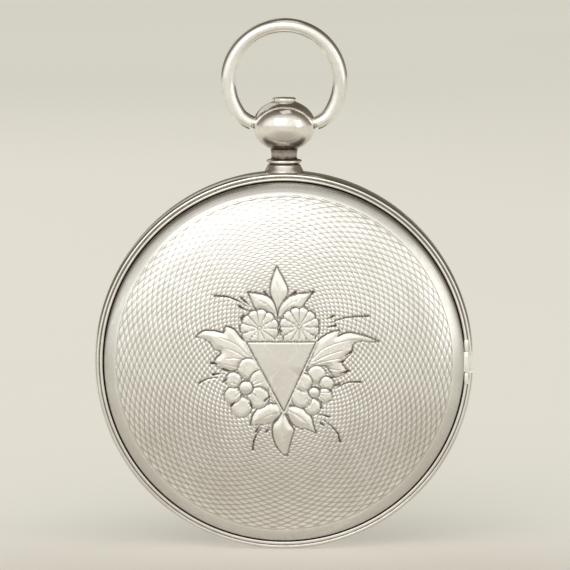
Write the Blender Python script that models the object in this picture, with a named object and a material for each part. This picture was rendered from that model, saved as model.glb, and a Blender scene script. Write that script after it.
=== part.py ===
"""Key-wind silver fob watch: case with sprung back, hinged inner cover and bezel, bar movement, dial and hands.

Metres, +Z up through the pendant, the engraved back faces -Y and the dial faces +Y.
The origin is the centre of the flat middle of the back cover, on the axis of the hands.
"""

import math

import bmesh
import bpy
from mathutils import Matrix, Vector, geometry

MM = 0.001

# Case: radii from the hand axis, and heights along Y from the flat of the back cover
CASE_R = 22.0 * MM
CASE_MID_Y = 6.15 * MM
COVER_R = 20.92 * MM
COVER_FLAT_R = 7.0 * MM
COVER_BORDER_R = 19.2 * MM
COVER_BORDER_Y = 1.95 * MM
COVER_EDGE_Y = 3.05 * MM
COVER_THICK = 0.5 * MM
COVER_SEAT_Y = 3.60 * MM
COVER_RIM_W = 0.87 * MM
SEAT_GAP = 0.04 * MM
REBATE_GAP = 0.06 * MM
CUVETTE_R = 19.92 * MM
CUVETTE_FLAT_R = 9.0 * MM
CUVETTE_Y = 1.70 * MM
CUVETTE_RISE = 1.40 * MM
CUVETTE_THICK = 0.35 * MM
CUVETTE_SEAT_Y = 3.95 * MM
CUVETTE_SEAT_R = 20.0 * MM
LEDGE_R = 18.95 * MM
CHANNEL_Y = 4.5 * MM
CHANNEL_R = 20.2 * MM
MOVEMENT_SEAT_Y = 6.35 * MM
MOVEMENT_BORE_R = 18.05 * MM
FLANGE_SEAT_Y = 7.25 * MM
FLANGE_BORE_R = 18.75 * MM
BAND_FRONT_Y = 9.0 * MM
SNAP_R = 20.6 * MM
SNAP_W = 0.45 * MM
SNAP_H = 0.5 * MM
BEAD_DEPTH = 0.16 * MM

# Bezel and crystal
BEZEL_R = 21.6 * MM
BEZEL_TOP_Y = 10.9 * MM
BEZEL_TOP_R = 19.3 * MM
BEZEL_OPENING_R = 18.2 * MM
CRYSTAL_R = 18.95 * MM
CRYSTAL_SEAT_Y = 10.12 * MM
CRYSTAL_RIM_H = 0.45 * MM
CRYSTAL_TOP_Y = 12.4 * MM
CRYSTAL_THICK = 0.5 * MM
LIP_ANGLE = math.radians(-16)
LIP_REACH = 22.35 * MM
LIP_HALF_WIDTH = 1.45 * MM

# Hinges: three knuckles on one pin, the middle one on the moving cover
HINGE_GAP = 0.05 * MM
PIN_GAP = 0.03 * MM
COVER_HINGE_X = 21.10 * MM
COVER_HINGE_Y = 3.45 * MM
COVER_KNUCKLE_R = 0.33 * MM
COVER_KNUCKLE_HALF = 1.2 * MM
COVER_HINGE_HALF = 2.6 * MM
CUVETTE_HINGE_X = 20.18 * MM
CUVETTE_HINGE_Y = 3.95 * MM
CUVETTE_KNUCKLE_R = 0.30 * MM
CUVETTE_KNUCKLE_HALF = 0.8 * MM
CUVETTE_HINGE_HALF = 2.0 * MM
CUVETTE_RELIEF_R = 0.44 * MM
CUVETTE_RELIEF_HALF = 3.6 * MM
BEZEL_HINGE_R = 21.42 * MM
BEZEL_HINGE_Y = 9.0 * MM
BEZEL_KNUCKLE_R = 0.42 * MM
BEZEL_HINGE_ANGLE = math.radians(164)
HINGE_PIN_R = 0.14 * MM

# Pendant, push piece and bow
NECK_SEAT_Z = 21.33 * MM
NECK_BASE_R = 2.29 * MM
NECK_WAIST_R = 1.62 * MM
COLLAR_R = 2.08 * MM
COLLAR_Z = 23.16 * MM
NECK_TOP_R = 1.48 * MM
STEM_BORE_R = 0.58 * MM
BALL_Z = 27.3 * MM
BALL_R = 3.65 * MM
BALL_HALF_H = 2.97 * MM
BALL_FLAT_Z = 24.6 * MM
SPRING_BORE_R = 1.55 * MM
SPRING_FLOOR_Z = 26.6 * MM
PUSH_R = 1.475 * MM
PUSH_TOP_Z = 30.58 * MM
PUSH_HEAD_Z = 29.3 * MM
PUSH_FLANGE_Z = 30.05 * MM
PUSH_WAIST_R = 1.36 * MM
STEM_R = 0.46 * MM
STEM_TIP_Z = 20.03 * MM
BOW_PIVOT_Z = 27.4 * MM
BOW_CENTRE_Z = 32.4 * MM
BOW_R = 6.49 * MM
BOW_WIRE_R = 0.875 * MM
BOW_PIN_R = 0.46 * MM
BOW_PIN_X = 2.3 * MM
BOW_SHOULDER_X = 3.72 * MM
BOW_HOLE_R = 0.52 * MM
PENDANT_GAP = 0.03 * MM

# Springs of the case
SPRING_R = 19.95 * MM
SPRING_THICK = 0.30 * MM
SPRING_Y = (4.8 * MM, 6.0 * MM)
LOCK_NOSE_Y = 3.68 * MM

# Movement: heights along Y
BRIDGE_Y = (3.12 * MM, 4.0 * MM)
BALANCE_COCK_Y = (2.95 * MM, 3.5 * MM)
PALLET_COCK_Y = (4.8 * MM, 5.3 * MM)
PLATE_Y = (6.4 * MM, 7.3 * MM, 7.8 * MM)
DIAL_Y = (8.75 * MM, 9.3 * MM)
PLATE_R = 17.9 * MM
FLANGE_R = 18.6 * MM
DIAL_R = 18.3 * MM

# Movement: places in the plane of the plate, X then Z, seen from the back
CENTRE = (0.0, 0.0)
BARREL = (2.33 * MM, 8.69 * MM)
THIRD = (3.635 * MM, -4.923 * MM)
FOURTH = (0.0, -8.5 * MM)
ESCAPE = (-4.2 * MM, -9.34 * MM)
PALLETS = (-6.9 * MM, -8.1 * MM)
BALANCE = (-10.5 * MM, -5.26 * MM)
MINUTE_WHEEL = (-3.38 * MM, -1.24 * MM)
BARREL_FEET = ((-9.0 * MM, 11.5 * MM), (13.0 * MM, 9.0 * MM))
CENTRE_FOOT = (11.0 * MM, 0.4 * MM)
THIRD_FOOT = (9.5 * MM, -8.5 * MM)
FOURTH_FOOT = (3.5 * MM, -14.8 * MM)
ESCAPE_FOOT = (-3.4 * MM, -15.2 * MM)
PALLET_FOOT = (-9.3 * MM, -12.3 * MM)
BALANCE_FOOT = (-12.6 * MM, 5.2 * MM)
CASE_SCREW_R = 17.4 * MM
CASE_SCREW_ANGLES = (math.radians(20), math.radians(200))
DIAL_FOOT_R = 16.2 * MM
DIAL_FOOT_ANGLES = (math.radians(60), math.radians(180), math.radians(300))
CLICK_PIVOT = (6.9 * MM, 10.4 * MM)
CLICK_BEAK = (3.95 * MM, 11.5 * MM)

# Gears: teeth and module
BARREL_TEETH = 80
BARREL_MODULE = 0.20 * MM
CENTRE_LEAVES = 10
CENTRE_TEETH = 64
CENTRE_MODULE = 0.17 * MM
THIRD_LEAVES = 8
THIRD_TEETH = 60
THIRD_MODULE = 0.15 * MM
FOURTH_LEAVES = 8
FOURTH_TEETH = 60
FOURTH_MODULE = 0.13 * MM
ESCAPE_LEAVES = 6
ESCAPE_TEETH = 15
ESCAPE_R = 2.6 * MM
CANNON_LEAVES = 12
MINUTE_TEETH = 36
CANNON_MODULE = 0.15 * MM
MINUTE_LEAVES = 10
HOUR_TEETH = 40
HOUR_MODULE = 0.144 * MM
RATCHET_TEETH = 30
RATCHET_R = 3.0 * MM

# Fits of the movement
PIVOT_R = 0.15 * MM
PIVOT_HOLE_R = 0.19 * MM
FIT_GAP = 0.02 * MM
SCREW_HEAD_R = 0.75 * MM
SCREW_HEAD_H = 0.30 * MM
SCREW_SHANK_R = 0.38 * MM
SCREW_HOLE_R = 0.43 * MM
SCREW_GAP = 0.02 * MM

# Time shown, as angles clockwise from twelve on the dial
HOUR_ANGLE = math.radians(305)
MINUTE_ANGLE = math.radians(60)
SECOND_ANGLE = math.radians(210)

SEG_CASE = 40
SEG_TURN = 20
SEG_SMALL = 12
SEG_FINE = 8


# ---- Outlines in the plane of the plate

def polar(radius, angle, centre=CENTRE):
    """A point at a radius and an angle from +X towards +Z."""
    return (centre[0] + radius * math.cos(angle), centre[1] + radius * math.sin(angle))


def circle(radius, centre=CENTRE, count=SEG_SMALL, phase=0.0):
    """A round outline."""
    return tuple(polar(radius, phase + math.tau * k / count, centre) for k in range(count))


def arc(radius, start, end, count, centre=CENTRE):
    """Points along an arc, both ends included."""
    return [polar(radius, start + (end - start) * k / (count - 1), centre) for k in range(count)]


def wheel_outline(teeth, module, centre, phase):
    """Pointed wheel teeth, with the tip of one tooth at the phase angle."""
    pitch = teeth * module / 2
    points = []
    for k in range(teeth):
        angle = phase + math.tau * k / teeth
        points.append(polar(pitch + 0.55 * module, angle, centre))
        points.append(polar(pitch - 1.2 * module, angle + math.pi / teeth, centre))
    return tuple(points)


def pinion_outline(leaves, module, centre, phase):
    """Narrow pinion leaves, with the middle of one gap at the phase angle."""
    pitch = leaves * module / 2
    root = pitch - 0.85 * module
    tip = pitch + 0.5 * module
    half_root = 0.62 * module / pitch
    half_tip = 0.34 * module / pitch
    points = []
    for k in range(leaves):
        middle = phase + math.tau * (k + 0.5) / leaves
        points.append(polar(root, middle - half_root, centre))
        points.append(polar(tip, middle - half_tip, centre))
        points.append(polar(tip, middle + half_tip, centre))
        points.append(polar(root, middle + half_root, centre))
    return tuple(points)


def saw_outline(teeth, tip, root, centre, lean, phase=0.0):
    """Teeth with one steep and one sloping side, as on a ratchet or an escape wheel."""
    pitch = math.tau / teeth
    points = []
    for k in range(teeth):
        angle = phase + pitch * k
        tooth = [(tip, angle), (root, angle + lean * pitch * 0.12), (root, angle + lean * pitch * 0.55)]
        points += [polar(radius, turn, centre) for radius, turn in tooth[::lean]]
    return tuple(points)


def windows(count, inner, outer, arm, centre, phase=0.0, steps=4):
    """The openings between the arms of a crossed-out wheel."""
    loops = []
    for k in range(count):
        start = phase + math.tau * k / count
        end = start + math.tau / count
        far = arm / 2 / outer
        near = arm / 2 / inner
        out = arc(outer, start + far, end - far, steps, centre)
        back = arc(inner, end - near, start + near, steps, centre)
        loops.append(tuple(out + back))
    return loops


def hull(discs, count=16):
    """The outline stretched round a set of discs, each (centre, radius)."""
    points = []
    for centre, radius in discs:
        points += circle(radius, centre, count)
    points = sorted(set(points))

    def half(ordered):
        side = []
        for p in ordered:
            while len(side) > 1:
                (ax, az), (bx, bz) = side[-2:]
                if (bx - ax) * (p[1] - az) - (bz - az) * (p[0] - ax) > 1e-12:
                    break
                side.pop()
            side.append(p)
        return side[:-1]

    return tuple(half(points) + half(points[::-1]))


def strip(points, width):
    """A closed outline that follows a line of points at half the width on each side."""
    left = []
    right = []
    for k, p in enumerate(points):
        a = points[max(k - 1, 0)]
        b = points[min(k + 1, len(points) - 1)]
        length = math.hypot(b[0] - a[0], b[1] - a[1])
        nx = -(b[1] - a[1]) / length * width / 2
        nz = (b[0] - a[0]) / length * width / 2
        left.append((p[0] + nx, p[1] + nz))
        right.append((p[0] - nx, p[1] - nz))
    return tuple(left + right[::-1])


def spiral(inner, outer, turns, per_turn, centre, phase):
    """Points along a flat spiral."""
    count = int(turns * per_turn)
    return [polar(inner + (outer - inner) * k / count, phase + math.tau * k / per_turn, centre)
            for k in range(count + 1)]


def inside(point, loop):
    """Whether a point lies inside an outline."""
    x, z = point
    odd = False
    for (ax, az), (bx, bz) in zip(loop, loop[1:] + loop[:1]):
        if (az > z) != (bz > z) and x < ax + (z - az) / (bz - az) * (bx - ax):
            odd = not odd
    return odd


# ---- Bodies

def clear_scene():
    """Start from an empty scene."""
    for obj in list(bpy.data.objects):
        bpy.data.objects.remove(obj, do_unlink=True)


def make_material(name, colour, roughness, metallic, alpha=1.0):
    """One Principled surface."""
    material = bpy.data.materials.new(name)
    material.use_nodes = True
    shader = material.node_tree.nodes["Principled BSDF"]
    shader.inputs["Base Color"].default_value = (*colour, 1.0)
    shader.inputs["Roughness"].default_value = roughness
    shader.inputs["Metallic"].default_value = metallic
    shader.inputs["Alpha"].default_value = alpha
    material.diffuse_color = (*colour, alpha)
    return material


def add_object(name, bm, material):
    """Turn a closed bmesh into a named object."""
    bmesh.ops.recalc_face_normals(bm, faces=bm.faces)
    mesh = bpy.data.meshes.new(name)
    bm.to_mesh(mesh)
    bm.free()
    mesh.shade_smooth()
    mesh.set_sharp_from_angle(angle=math.radians(32))
    if material:
        mesh.materials.append(material)
    obj = bpy.data.objects.new(name, mesh)
    bpy.context.collection.objects.link(obj)
    return obj


def turned_mesh(profile, axis, segments, centre, phase=0.0):
    """Turn a closed profile of (radius, height) points about an axis along Y or Z."""
    bm = bmesh.new()
    rings = []
    for radius, height in profile:
        ring = []
        for k in range(segments if radius > 1e-9 else 1):
            angle = phase + math.tau * k / segments
            u = radius * math.cos(angle)
            v = radius * math.sin(angle)
            if axis == "Y":
                ring.append(bm.verts.new((centre[0] + u, height, centre[1] + v)))
            else:
                ring.append(bm.verts.new((centre[0] + u, centre[1] + v, height)))
        rings.append(ring)
    for a, b in zip(rings, rings[1:] + rings[:1]):
        for k in range(segments):
            loop = []
            for v in (a[k % len(a)], a[(k + 1) % len(a)], b[(k + 1) % len(b)], b[k % len(b)]):
                if v not in loop:
                    loop.append(v)
            if len(loop) > 2:
                bm.faces.new(loop)
    return bm


def turned(name, material, profile, axis="Y", segments=SEG_TURN, centre=CENTRE):
    """A turned piece."""
    return add_object(name, turned_mesh(profile, axis, segments, centre), material)


def fill_level(bm, vertex, loops, y):
    """Close the areas that lie inside an odd number of outlines at one height."""
    points = []
    edges = []
    for loop in loops:
        first = len(points)
        points += loop
        edges += [(first + k, first + (k + 1) % len(loop)) for k in range(len(loop))]
    flat = [Vector((x / MM, z / MM)) for x, z in points]
    result = geometry.delaunay_2d_cdt(flat, edges, [], 0, 1e-7)
    places, triangles, origin = result[0], result[2], result[3]
    for triangle in triangles:
        middle = sum((places[k] for k in triangle), Vector((0.0, 0.0))) / 3 * MM
        if sum(inside(middle, loop) for loop in loops) % 2:
            bm.faces.new([vertex(points[origin[k][0]], y) for k in triangle])


def stacked(name, material, slabs):
    """A piece built from flat slabs, each (low y, high y, outlines); every slab starts where the last ends."""
    bm = bmesh.new()
    known = {}

    def vertex(point, y):
        key = (round(point[0] * 1e9), round(y * 1e9), round(point[1] * 1e9))
        if key not in known:
            known[key] = bm.verts.new((point[0], y, point[1]))
        return known[key]

    levels = [slabs[0][0]] + [slab[1] for slab in slabs]
    outlines = [slab[2] for slab in slabs]
    for k, y in enumerate(levels):
        below = outlines[k - 1] if k else []
        above = outlines[k] if k < len(slabs) else []
        rims = [loop for loop in below if loop not in above] + [loop for loop in above if loop not in below]
        if rims:
            fill_level(bm, vertex, rims, y)
    for k, loops in enumerate(outlines):
        for loop in loops:
            if k and loop in outlines[k - 1]:
                continue
            end = k
            while end < len(slabs) and loop in outlines[end]:
                end += 1
            for p, q in zip(loop, loop[1:] + loop[:1]):
                bm.faces.new((vertex(p, levels[k]), vertex(q, levels[k]),
                              vertex(q, levels[end]), vertex(p, levels[end])))
    return add_object(name, bm, material)


def tube(name, material, centres, radii, sides):
    """A round bar along a line of centres, with its own radius at each."""
    bm = bmesh.new()
    rings = []
    side = None
    for k, (centre, radius) in enumerate(zip(centres, radii)):
        a = Vector(centres[max(k - 1, 0)])
        b = Vector(centres[min(k + 1, len(centres) - 1)])
        along = (b - a).normalized()
        if side is None:
            side = along.orthogonal().normalized()
        side = (side - along * side.dot(along)).normalized()
        up = along.cross(side)
        rings.append([bm.verts.new(Vector(centre) + radius * (math.cos(t) * side + math.sin(t) * up))
                      for t in (math.tau * j / sides for j in range(sides))])
    for p, q in zip(rings, rings[1:]):
        for j in range(sides):
            bm.faces.new((p[j], p[(j + 1) % sides], q[(j + 1) % sides], q[j]))
    bm.faces.new(rings[0])
    bm.faces.new(rings[-1])
    return add_object(name, bm, material)


def rod(name, start, end, radius, sides=SEG_SMALL, material=None):
    """A plain round rod between two points."""
    return tube(name, material, [start, end], [radius, radius], sides)


def box(name, low, high):
    """A plain block between two corners."""
    bm = bmesh.new()
    bmesh.ops.create_cube(bm, size=1.0)
    middle = (Vector(low) + Vector(high)) / 2
    size = Vector(high) - Vector(low)
    bmesh.ops.transform(bm, matrix=Matrix.Translation(middle) @ Matrix.Diagonal((*size, 1.0)), verts=bm.verts)
    return add_object(name, bm, None)


def turned_round(obj, angle):
    """Turn a piece about the hand axis, from +X towards +Z."""
    obj.data.transform(Matrix.Rotation(-angle, 4, "Y"))
    return obj


def combine(target, tool, operation):
    """Add a body to a piece, or cut it out, with an exact Boolean."""
    tool.hide_render = True
    tool.display_type = "WIRE"
    modifier = target.modifiers.new(tool.name, "BOOLEAN")
    modifier.operation = operation
    modifier.solver = "EXACT"
    modifier.object = tool


clear_scene()

SILVER = make_material("silver", (0.86, 0.84, 0.80), 0.22, 1.0)
GILT = make_material("gilt_brass", (0.83, 0.67, 0.36), 0.34, 1.0)
BRASS = make_material("brass", (0.78, 0.62, 0.32), 0.30, 1.0)
STEEL = make_material("steel", (0.70, 0.71, 0.72), 0.20, 1.0)
BLUED = make_material("blued_steel", (0.07, 0.12, 0.38), 0.22, 1.0)
ENAMEL = make_material("enamel", (0.93, 0.92, 0.88), 0.15, 0.0)
GLASS = make_material("glass", (0.92, 0.95, 0.95), 0.03, 0.0, 0.3)


# ---- Case band: one turned ring with the seats for both back covers, the spring channel and the movement

band_front_bead = BAND_FRONT_Y - 0.6 * MM
band = turned("case_band", SILVER, [
    (COVER_R + REBATE_GAP, COVER_SEAT_Y),
    (COVER_R + REBATE_GAP, 3.32 * MM),
    (21.14 * MM, 3.20 * MM),
    (21.36 * MM, 3.28 * MM),
    (21.48 * MM, 3.50 * MM),
    (21.66 * MM, 3.48 * MM),
    (21.88 * MM, 3.66 * MM),
    (CASE_R, 3.95 * MM),
    (CASE_R - BEAD_DEPTH, 4.25 * MM),
    (CASE_R - 0.05 * MM, 4.6 * MM),
    (CASE_R, 5.3 * MM),
    (CASE_R, 7.2 * MM),
    (CASE_R - BEAD_DEPTH, band_front_bead),
    (CASE_R - 0.1 * MM, BAND_FRONT_Y - 0.3 * MM),
    (BEZEL_R, BAND_FRONT_Y),
    (SNAP_R, BAND_FRONT_Y),
    (SNAP_R, BAND_FRONT_Y + SNAP_H),
    (SNAP_R - SNAP_W, BAND_FRONT_Y + SNAP_H),
    (SNAP_R - SNAP_W, BAND_FRONT_Y),
    (FLANGE_BORE_R, BAND_FRONT_Y),
    (FLANGE_BORE_R, FLANGE_SEAT_Y),
    (MOVEMENT_BORE_R, FLANGE_SEAT_Y),
    (MOVEMENT_BORE_R, MOVEMENT_SEAT_Y),
    (CHANNEL_R, MOVEMENT_SEAT_Y),
    (CHANNEL_R, CHANNEL_Y),
    (LEDGE_R, CHANNEL_Y),
    (LEDGE_R, CUVETTE_SEAT_Y),
    (CUVETTE_SEAT_R, CUVETTE_SEAT_Y),
    (CUVETTE_SEAT_R, COVER_SEAT_Y),
], segments=SEG_CASE)

# The band's ends of the cover hinges stand either side of a notch for the moving knuckle
cover_pocket = COVER_KNUCKLE_R + 2 * HINGE_GAP
cuvette_pocket = CUVETTE_KNUCKLE_R + 2 * HINGE_GAP
bezel_pocket = BEZEL_KNUCKLE_R + 2 * HINGE_GAP
combine(band, rod("band_cover_knuckles",
    (COVER_HINGE_X, COVER_HINGE_Y, -COVER_HINGE_HALF),
    (COVER_HINGE_X, COVER_HINGE_Y, COVER_HINGE_HALF), COVER_KNUCKLE_R), "UNION")
combine(band, box("band_cover_notch",
    (COVER_HINGE_X - 1.3 * MM, COVER_HINGE_Y - 1.0 * MM, -COVER_KNUCKLE_HALF - HINGE_GAP),
    (COVER_HINGE_X + 1.0 * MM, COVER_HINGE_Y + cover_pocket, COVER_KNUCKLE_HALF + HINGE_GAP)), "DIFFERENCE")
combine(band, rod("band_cover_pin_hole",
    (COVER_HINGE_X, COVER_HINGE_Y, -COVER_HINGE_HALF - 0.5 * MM),
    (COVER_HINGE_X, COVER_HINGE_Y, COVER_HINGE_HALF + 0.5 * MM), HINGE_PIN_R + PIN_GAP, SEG_FINE), "DIFFERENCE")
combine(band, box("band_cuvette_notch",
    (CUVETTE_HINGE_X - 0.7 * MM, CUVETTE_HINGE_Y - 1.0 * MM, -CUVETTE_KNUCKLE_HALF - HINGE_GAP),
    (CUVETTE_HINGE_X + cuvette_pocket, CUVETTE_HINGE_Y + cuvette_pocket, CUVETTE_KNUCKLE_HALF + HINGE_GAP)),
    "DIFFERENCE")
combine(band, rod("band_cuvette_pin_hole",
    (CUVETTE_HINGE_X, CUVETTE_HINGE_Y, -CUVETTE_HINGE_HALF),
    (CUVETTE_HINGE_X, CUVETTE_HINGE_Y, CUVETTE_HINGE_HALF), HINGE_PIN_R + PIN_GAP, SEG_FINE), "DIFFERENCE")

# The bezel hinge lies opposite the thumb lip, so its parts are laid out on +X and turned round
combine(band, turned_round(rod("band_bezel_knuckles",
    (BEZEL_HINGE_R, BEZEL_HINGE_Y, -COVER_HINGE_HALF),
    (BEZEL_HINGE_R, BEZEL_HINGE_Y, COVER_HINGE_HALF), BEZEL_KNUCKLE_R), BEZEL_HINGE_ANGLE), "UNION")
combine(band, turned_round(box("band_bezel_notch",
    (BEZEL_HINGE_R - bezel_pocket, BEZEL_HINGE_Y - bezel_pocket, -COVER_KNUCKLE_HALF - HINGE_GAP),
    (BEZEL_HINGE_R + 1.0 * MM, BEZEL_HINGE_Y + 1.0 * MM, COVER_KNUCKLE_HALF + HINGE_GAP)),
    BEZEL_HINGE_ANGLE), "DIFFERENCE")
combine(band, turned_round(rod("band_bezel_pin_hole",
    (BEZEL_HINGE_R, BEZEL_HINGE_Y, -COVER_HINGE_HALF - 0.5 * MM),
    (BEZEL_HINGE_R, BEZEL_HINGE_Y, COVER_HINGE_HALF + 0.5 * MM), HINGE_PIN_R + PIN_GAP, SEG_FINE),
    BEZEL_HINGE_ANGLE), "DIFFERENCE")

# At the top the band has a flat seat for the pendant, a bore for the push stem and a slot for the lock nose
combine(band, rod("band_pendant_seat",
    (0.0, CASE_MID_Y, NECK_SEAT_Z - PENDANT_GAP), (0.0, CASE_MID_Y, CASE_R + 0.5 * MM),
    NECK_BASE_R + REBATE_GAP, SEG_TURN), "DIFFERENCE")
combine(band, rod("band_stem_bore",
    (0.0, CASE_MID_Y, STEM_TIP_Z - 0.75 * MM), (0.0, CASE_MID_Y, CASE_R), STEM_BORE_R), "DIFFERENCE")
nose_slot_half = 0.95 * MM
combine(band, box("band_nose_slot",
    (-nose_slot_half, COVER_SEAT_Y - 0.5 * MM, LEDGE_R - 0.5 * MM),
    (nose_slot_half, CHANNEL_Y + 0.3 * MM, CHANNEL_R)), "DIFFERENCE")


# ---- Back cover: domed sheet with a flat middle, a plain border and a thick rim that snaps into the band

def cover_y(radius):
    """Height of the outside of the back cover."""
    if radius < COVER_FLAT_R:
        return 0.0
    share = (radius - COVER_FLAT_R) / (COVER_BORDER_R - COVER_FLAT_R)
    return COVER_BORDER_Y * share ** 1.9


cover_steps = [COVER_FLAT_R + (COVER_BORDER_R - COVER_FLAT_R) * k / 5 for k in range(6)]
cover_outside = [(r, cover_y(r)) for r in cover_steps]
cover_inside = [(r, cover_y(r) + COVER_THICK) for r in cover_steps]
cover = turned("back_cover", SILVER, [
    (0.0, 0.0), *cover_outside,
    (20.3 * MM, 2.55 * MM),
    (COVER_R, COVER_EDGE_Y),
    (COVER_R, COVER_SEAT_Y - SEAT_GAP),
    (COVER_R - COVER_RIM_W, COVER_SEAT_Y - SEAT_GAP),
    (COVER_R - COVER_RIM_W, COVER_EDGE_Y),
    *reversed(cover_inside), (0.0, COVER_THICK),
], segments=SEG_CASE)
combine(cover, rod("cover_knuckle_pocket",
    (COVER_HINGE_X, COVER_HINGE_Y, -COVER_HINGE_HALF - HINGE_GAP),
    (COVER_HINGE_X, COVER_HINGE_Y, COVER_HINGE_HALF + HINGE_GAP), cover_pocket), "DIFFERENCE")
combine(cover, box("cover_hinge_leaf",
    (COVER_R - 0.4 * MM, COVER_EDGE_Y + 0.08 * MM, -COVER_KNUCKLE_HALF + PIN_GAP),
    (COVER_HINGE_X, COVER_SEAT_Y - 2 * SEAT_GAP, COVER_KNUCKLE_HALF - PIN_GAP)), "UNION")
combine(cover, rod("cover_knuckle",
    (COVER_HINGE_X, COVER_HINGE_Y, -COVER_KNUCKLE_HALF),
    (COVER_HINGE_X, COVER_HINGE_Y, COVER_KNUCKLE_HALF), COVER_KNUCKLE_R), "UNION")
combine(cover, rod("cover_pin_hole",
    (COVER_HINGE_X, COVER_HINGE_Y, -COVER_KNUCKLE_HALF - 0.3 * MM),
    (COVER_HINGE_X, COVER_HINGE_Y, COVER_KNUCKLE_HALF + 0.3 * MM), HINGE_PIN_R + PIN_GAP, SEG_FINE), "DIFFERENCE")
combine(cover, box("cover_inner_hinge_relief",
    (CUVETTE_HINGE_X - 0.5 * MM, CUVETTE_HINGE_Y - 0.62 * MM, -CUVETTE_HINGE_HALF - 0.3 * MM),
    (CUVETTE_HINGE_X + cuvette_pocket, COVER_SEAT_Y, CUVETTE_HINGE_HALF + 0.3 * MM)), "DIFFERENCE")

rod("back_cover_hinge_pin", (COVER_HINGE_X, COVER_HINGE_Y, -COVER_HINGE_HALF + HINGE_GAP),
    (COVER_HINGE_X, COVER_HINGE_Y, COVER_HINGE_HALF - HINGE_GAP), HINGE_PIN_R, SEG_FINE, STEEL)


# ---- Cuvette: the inner dust cover, with one key hole over the barrel and one over the hands' arbor

def cuvette_y(radius):
    """Height of the outside of the cuvette."""
    if radius < CUVETTE_FLAT_R:
        return CUVETTE_Y
    return CUVETTE_Y + CUVETTE_RISE * ((radius - CUVETTE_FLAT_R) / (10.0 * MM)) ** 3


cuvette_steps = [r * MM for r in (9.0, 12.5, 15.5, 17.6, 19.0)]
cuvette = turned("cuvette", SILVER, [
    (0.0, CUVETTE_Y),
    *[(r, cuvette_y(r)) for r in cuvette_steps],
    (CUVETTE_R, CUVETTE_SEAT_Y - 0.42 * MM),
    (CUVETTE_R, CUVETTE_SEAT_Y - SEAT_GAP),
    (CUVETTE_R - 0.8 * MM, CUVETTE_SEAT_Y - SEAT_GAP),
    *[(r - 0.15 * MM, cuvette_y(r) + CUVETTE_THICK) for r in reversed(cuvette_steps)],
    (0.0, CUVETTE_Y + CUVETTE_THICK),
], segments=SEG_CASE)
combine(cuvette, rod("cuvette_swing_relief",
    (CUVETTE_HINGE_X, CUVETTE_HINGE_Y, -CUVETTE_RELIEF_HALF),
    (CUVETTE_HINGE_X, CUVETTE_HINGE_Y, CUVETTE_RELIEF_HALF), CUVETTE_RELIEF_R), "DIFFERENCE")
combine(cuvette, box("cuvette_leaf",
    (CUVETTE_R - 0.5 * MM, CUVETTE_SEAT_Y - 0.35 * MM, -CUVETTE_KNUCKLE_HALF + PIN_GAP),
    (CUVETTE_HINGE_X, CUVETTE_SEAT_Y - 2 * SEAT_GAP, CUVETTE_KNUCKLE_HALF - PIN_GAP)), "UNION")
combine(cuvette, rod("cuvette_knuckle",
    (CUVETTE_HINGE_X, CUVETTE_HINGE_Y, -CUVETTE_KNUCKLE_HALF),
    (CUVETTE_HINGE_X, CUVETTE_HINGE_Y, CUVETTE_KNUCKLE_HALF), CUVETTE_KNUCKLE_R), "UNION")
combine(cuvette, rod("cuvette_pin_hole",
    (CUVETTE_HINGE_X, CUVETTE_HINGE_Y, -CUVETTE_KNUCKLE_HALF - 0.2 * MM),
    (CUVETTE_HINGE_X, CUVETTE_HINGE_Y, CUVETTE_KNUCKLE_HALF + 0.2 * MM),
    HINGE_PIN_R + PIN_GAP, SEG_FINE), "DIFFERENCE")
for tool_name, centre, radius in (("cuvette_hand_key_hole", CENTRE, 1.1 * MM),
                                  ("cuvette_winding_key_hole", BARREL, 1.4 * MM)):
    combine(cuvette, rod(tool_name, 
        (centre[0], CUVETTE_Y - 0.5 * MM, centre[1]), (centre[0], CUVETTE_Y + 1.0 * MM, centre[1]),
        radius, SEG_TURN), "DIFFERENCE")
combine(cuvette, box("cuvette_nose_slot",
    (-nose_slot_half, CUVETTE_Y, LEDGE_R), (nose_slot_half, CUVETTE_SEAT_Y + 0.3 * MM, CUVETTE_R + 0.3 * MM)),
    "DIFFERENCE")

rod("cuvette_hinge_pin", (CUVETTE_HINGE_X, CUVETTE_HINGE_Y, -CUVETTE_HINGE_HALF + HINGE_GAP),
    (CUVETTE_HINGE_X, CUVETTE_HINGE_Y, CUVETTE_HINGE_HALF - HINGE_GAP), HINGE_PIN_R, SEG_FINE, STEEL)


# ---- Bezel, thumb lip, hinge pin and crystal

bezel_low = BAND_FRONT_Y + SEAT_GAP
bezel = turned("bezel", SILVER, [
    (SNAP_R + REBATE_GAP, bezel_low),
    (BEZEL_R, bezel_low),
    (BEZEL_R, bezel_low + 0.35 * MM),
    (BEZEL_R - 0.22 * MM, bezel_low + 0.5 * MM),
    (BEZEL_R - 0.35 * MM, bezel_low + 0.9 * MM),
    (20.5 * MM, 10.45 * MM),
    (BEZEL_TOP_R + 0.35 * MM, BEZEL_TOP_Y),
    (BEZEL_TOP_R, BEZEL_TOP_Y),
    (CRYSTAL_R + PENDANT_GAP, CRYSTAL_SEAT_Y + CRYSTAL_RIM_H + 0.1 * MM),
    (CRYSTAL_R + PENDANT_GAP, CRYSTAL_SEAT_Y - PENDANT_GAP),
    (BEZEL_OPENING_R, CRYSTAL_SEAT_Y - PENDANT_GAP),
    (BEZEL_OPENING_R, 9.75 * MM),
    (SNAP_R + REBATE_GAP, BAND_FRONT_Y + SNAP_H + 0.25 * MM),
], segments=SEG_CASE)
lip_y = bezel_low + 0.05 * MM
lip_points = [(-LIP_HALF_WIDTH, -1.0 * MM), (-LIP_HALF_WIDTH, -0.35 * MM), (-0.8 * LIP_HALF_WIDTH, 0.0),
              (0.8 * LIP_HALF_WIDTH, 0.0), (LIP_HALF_WIDTH, -0.35 * MM), (LIP_HALF_WIDTH, -1.0 * MM)]
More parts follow.
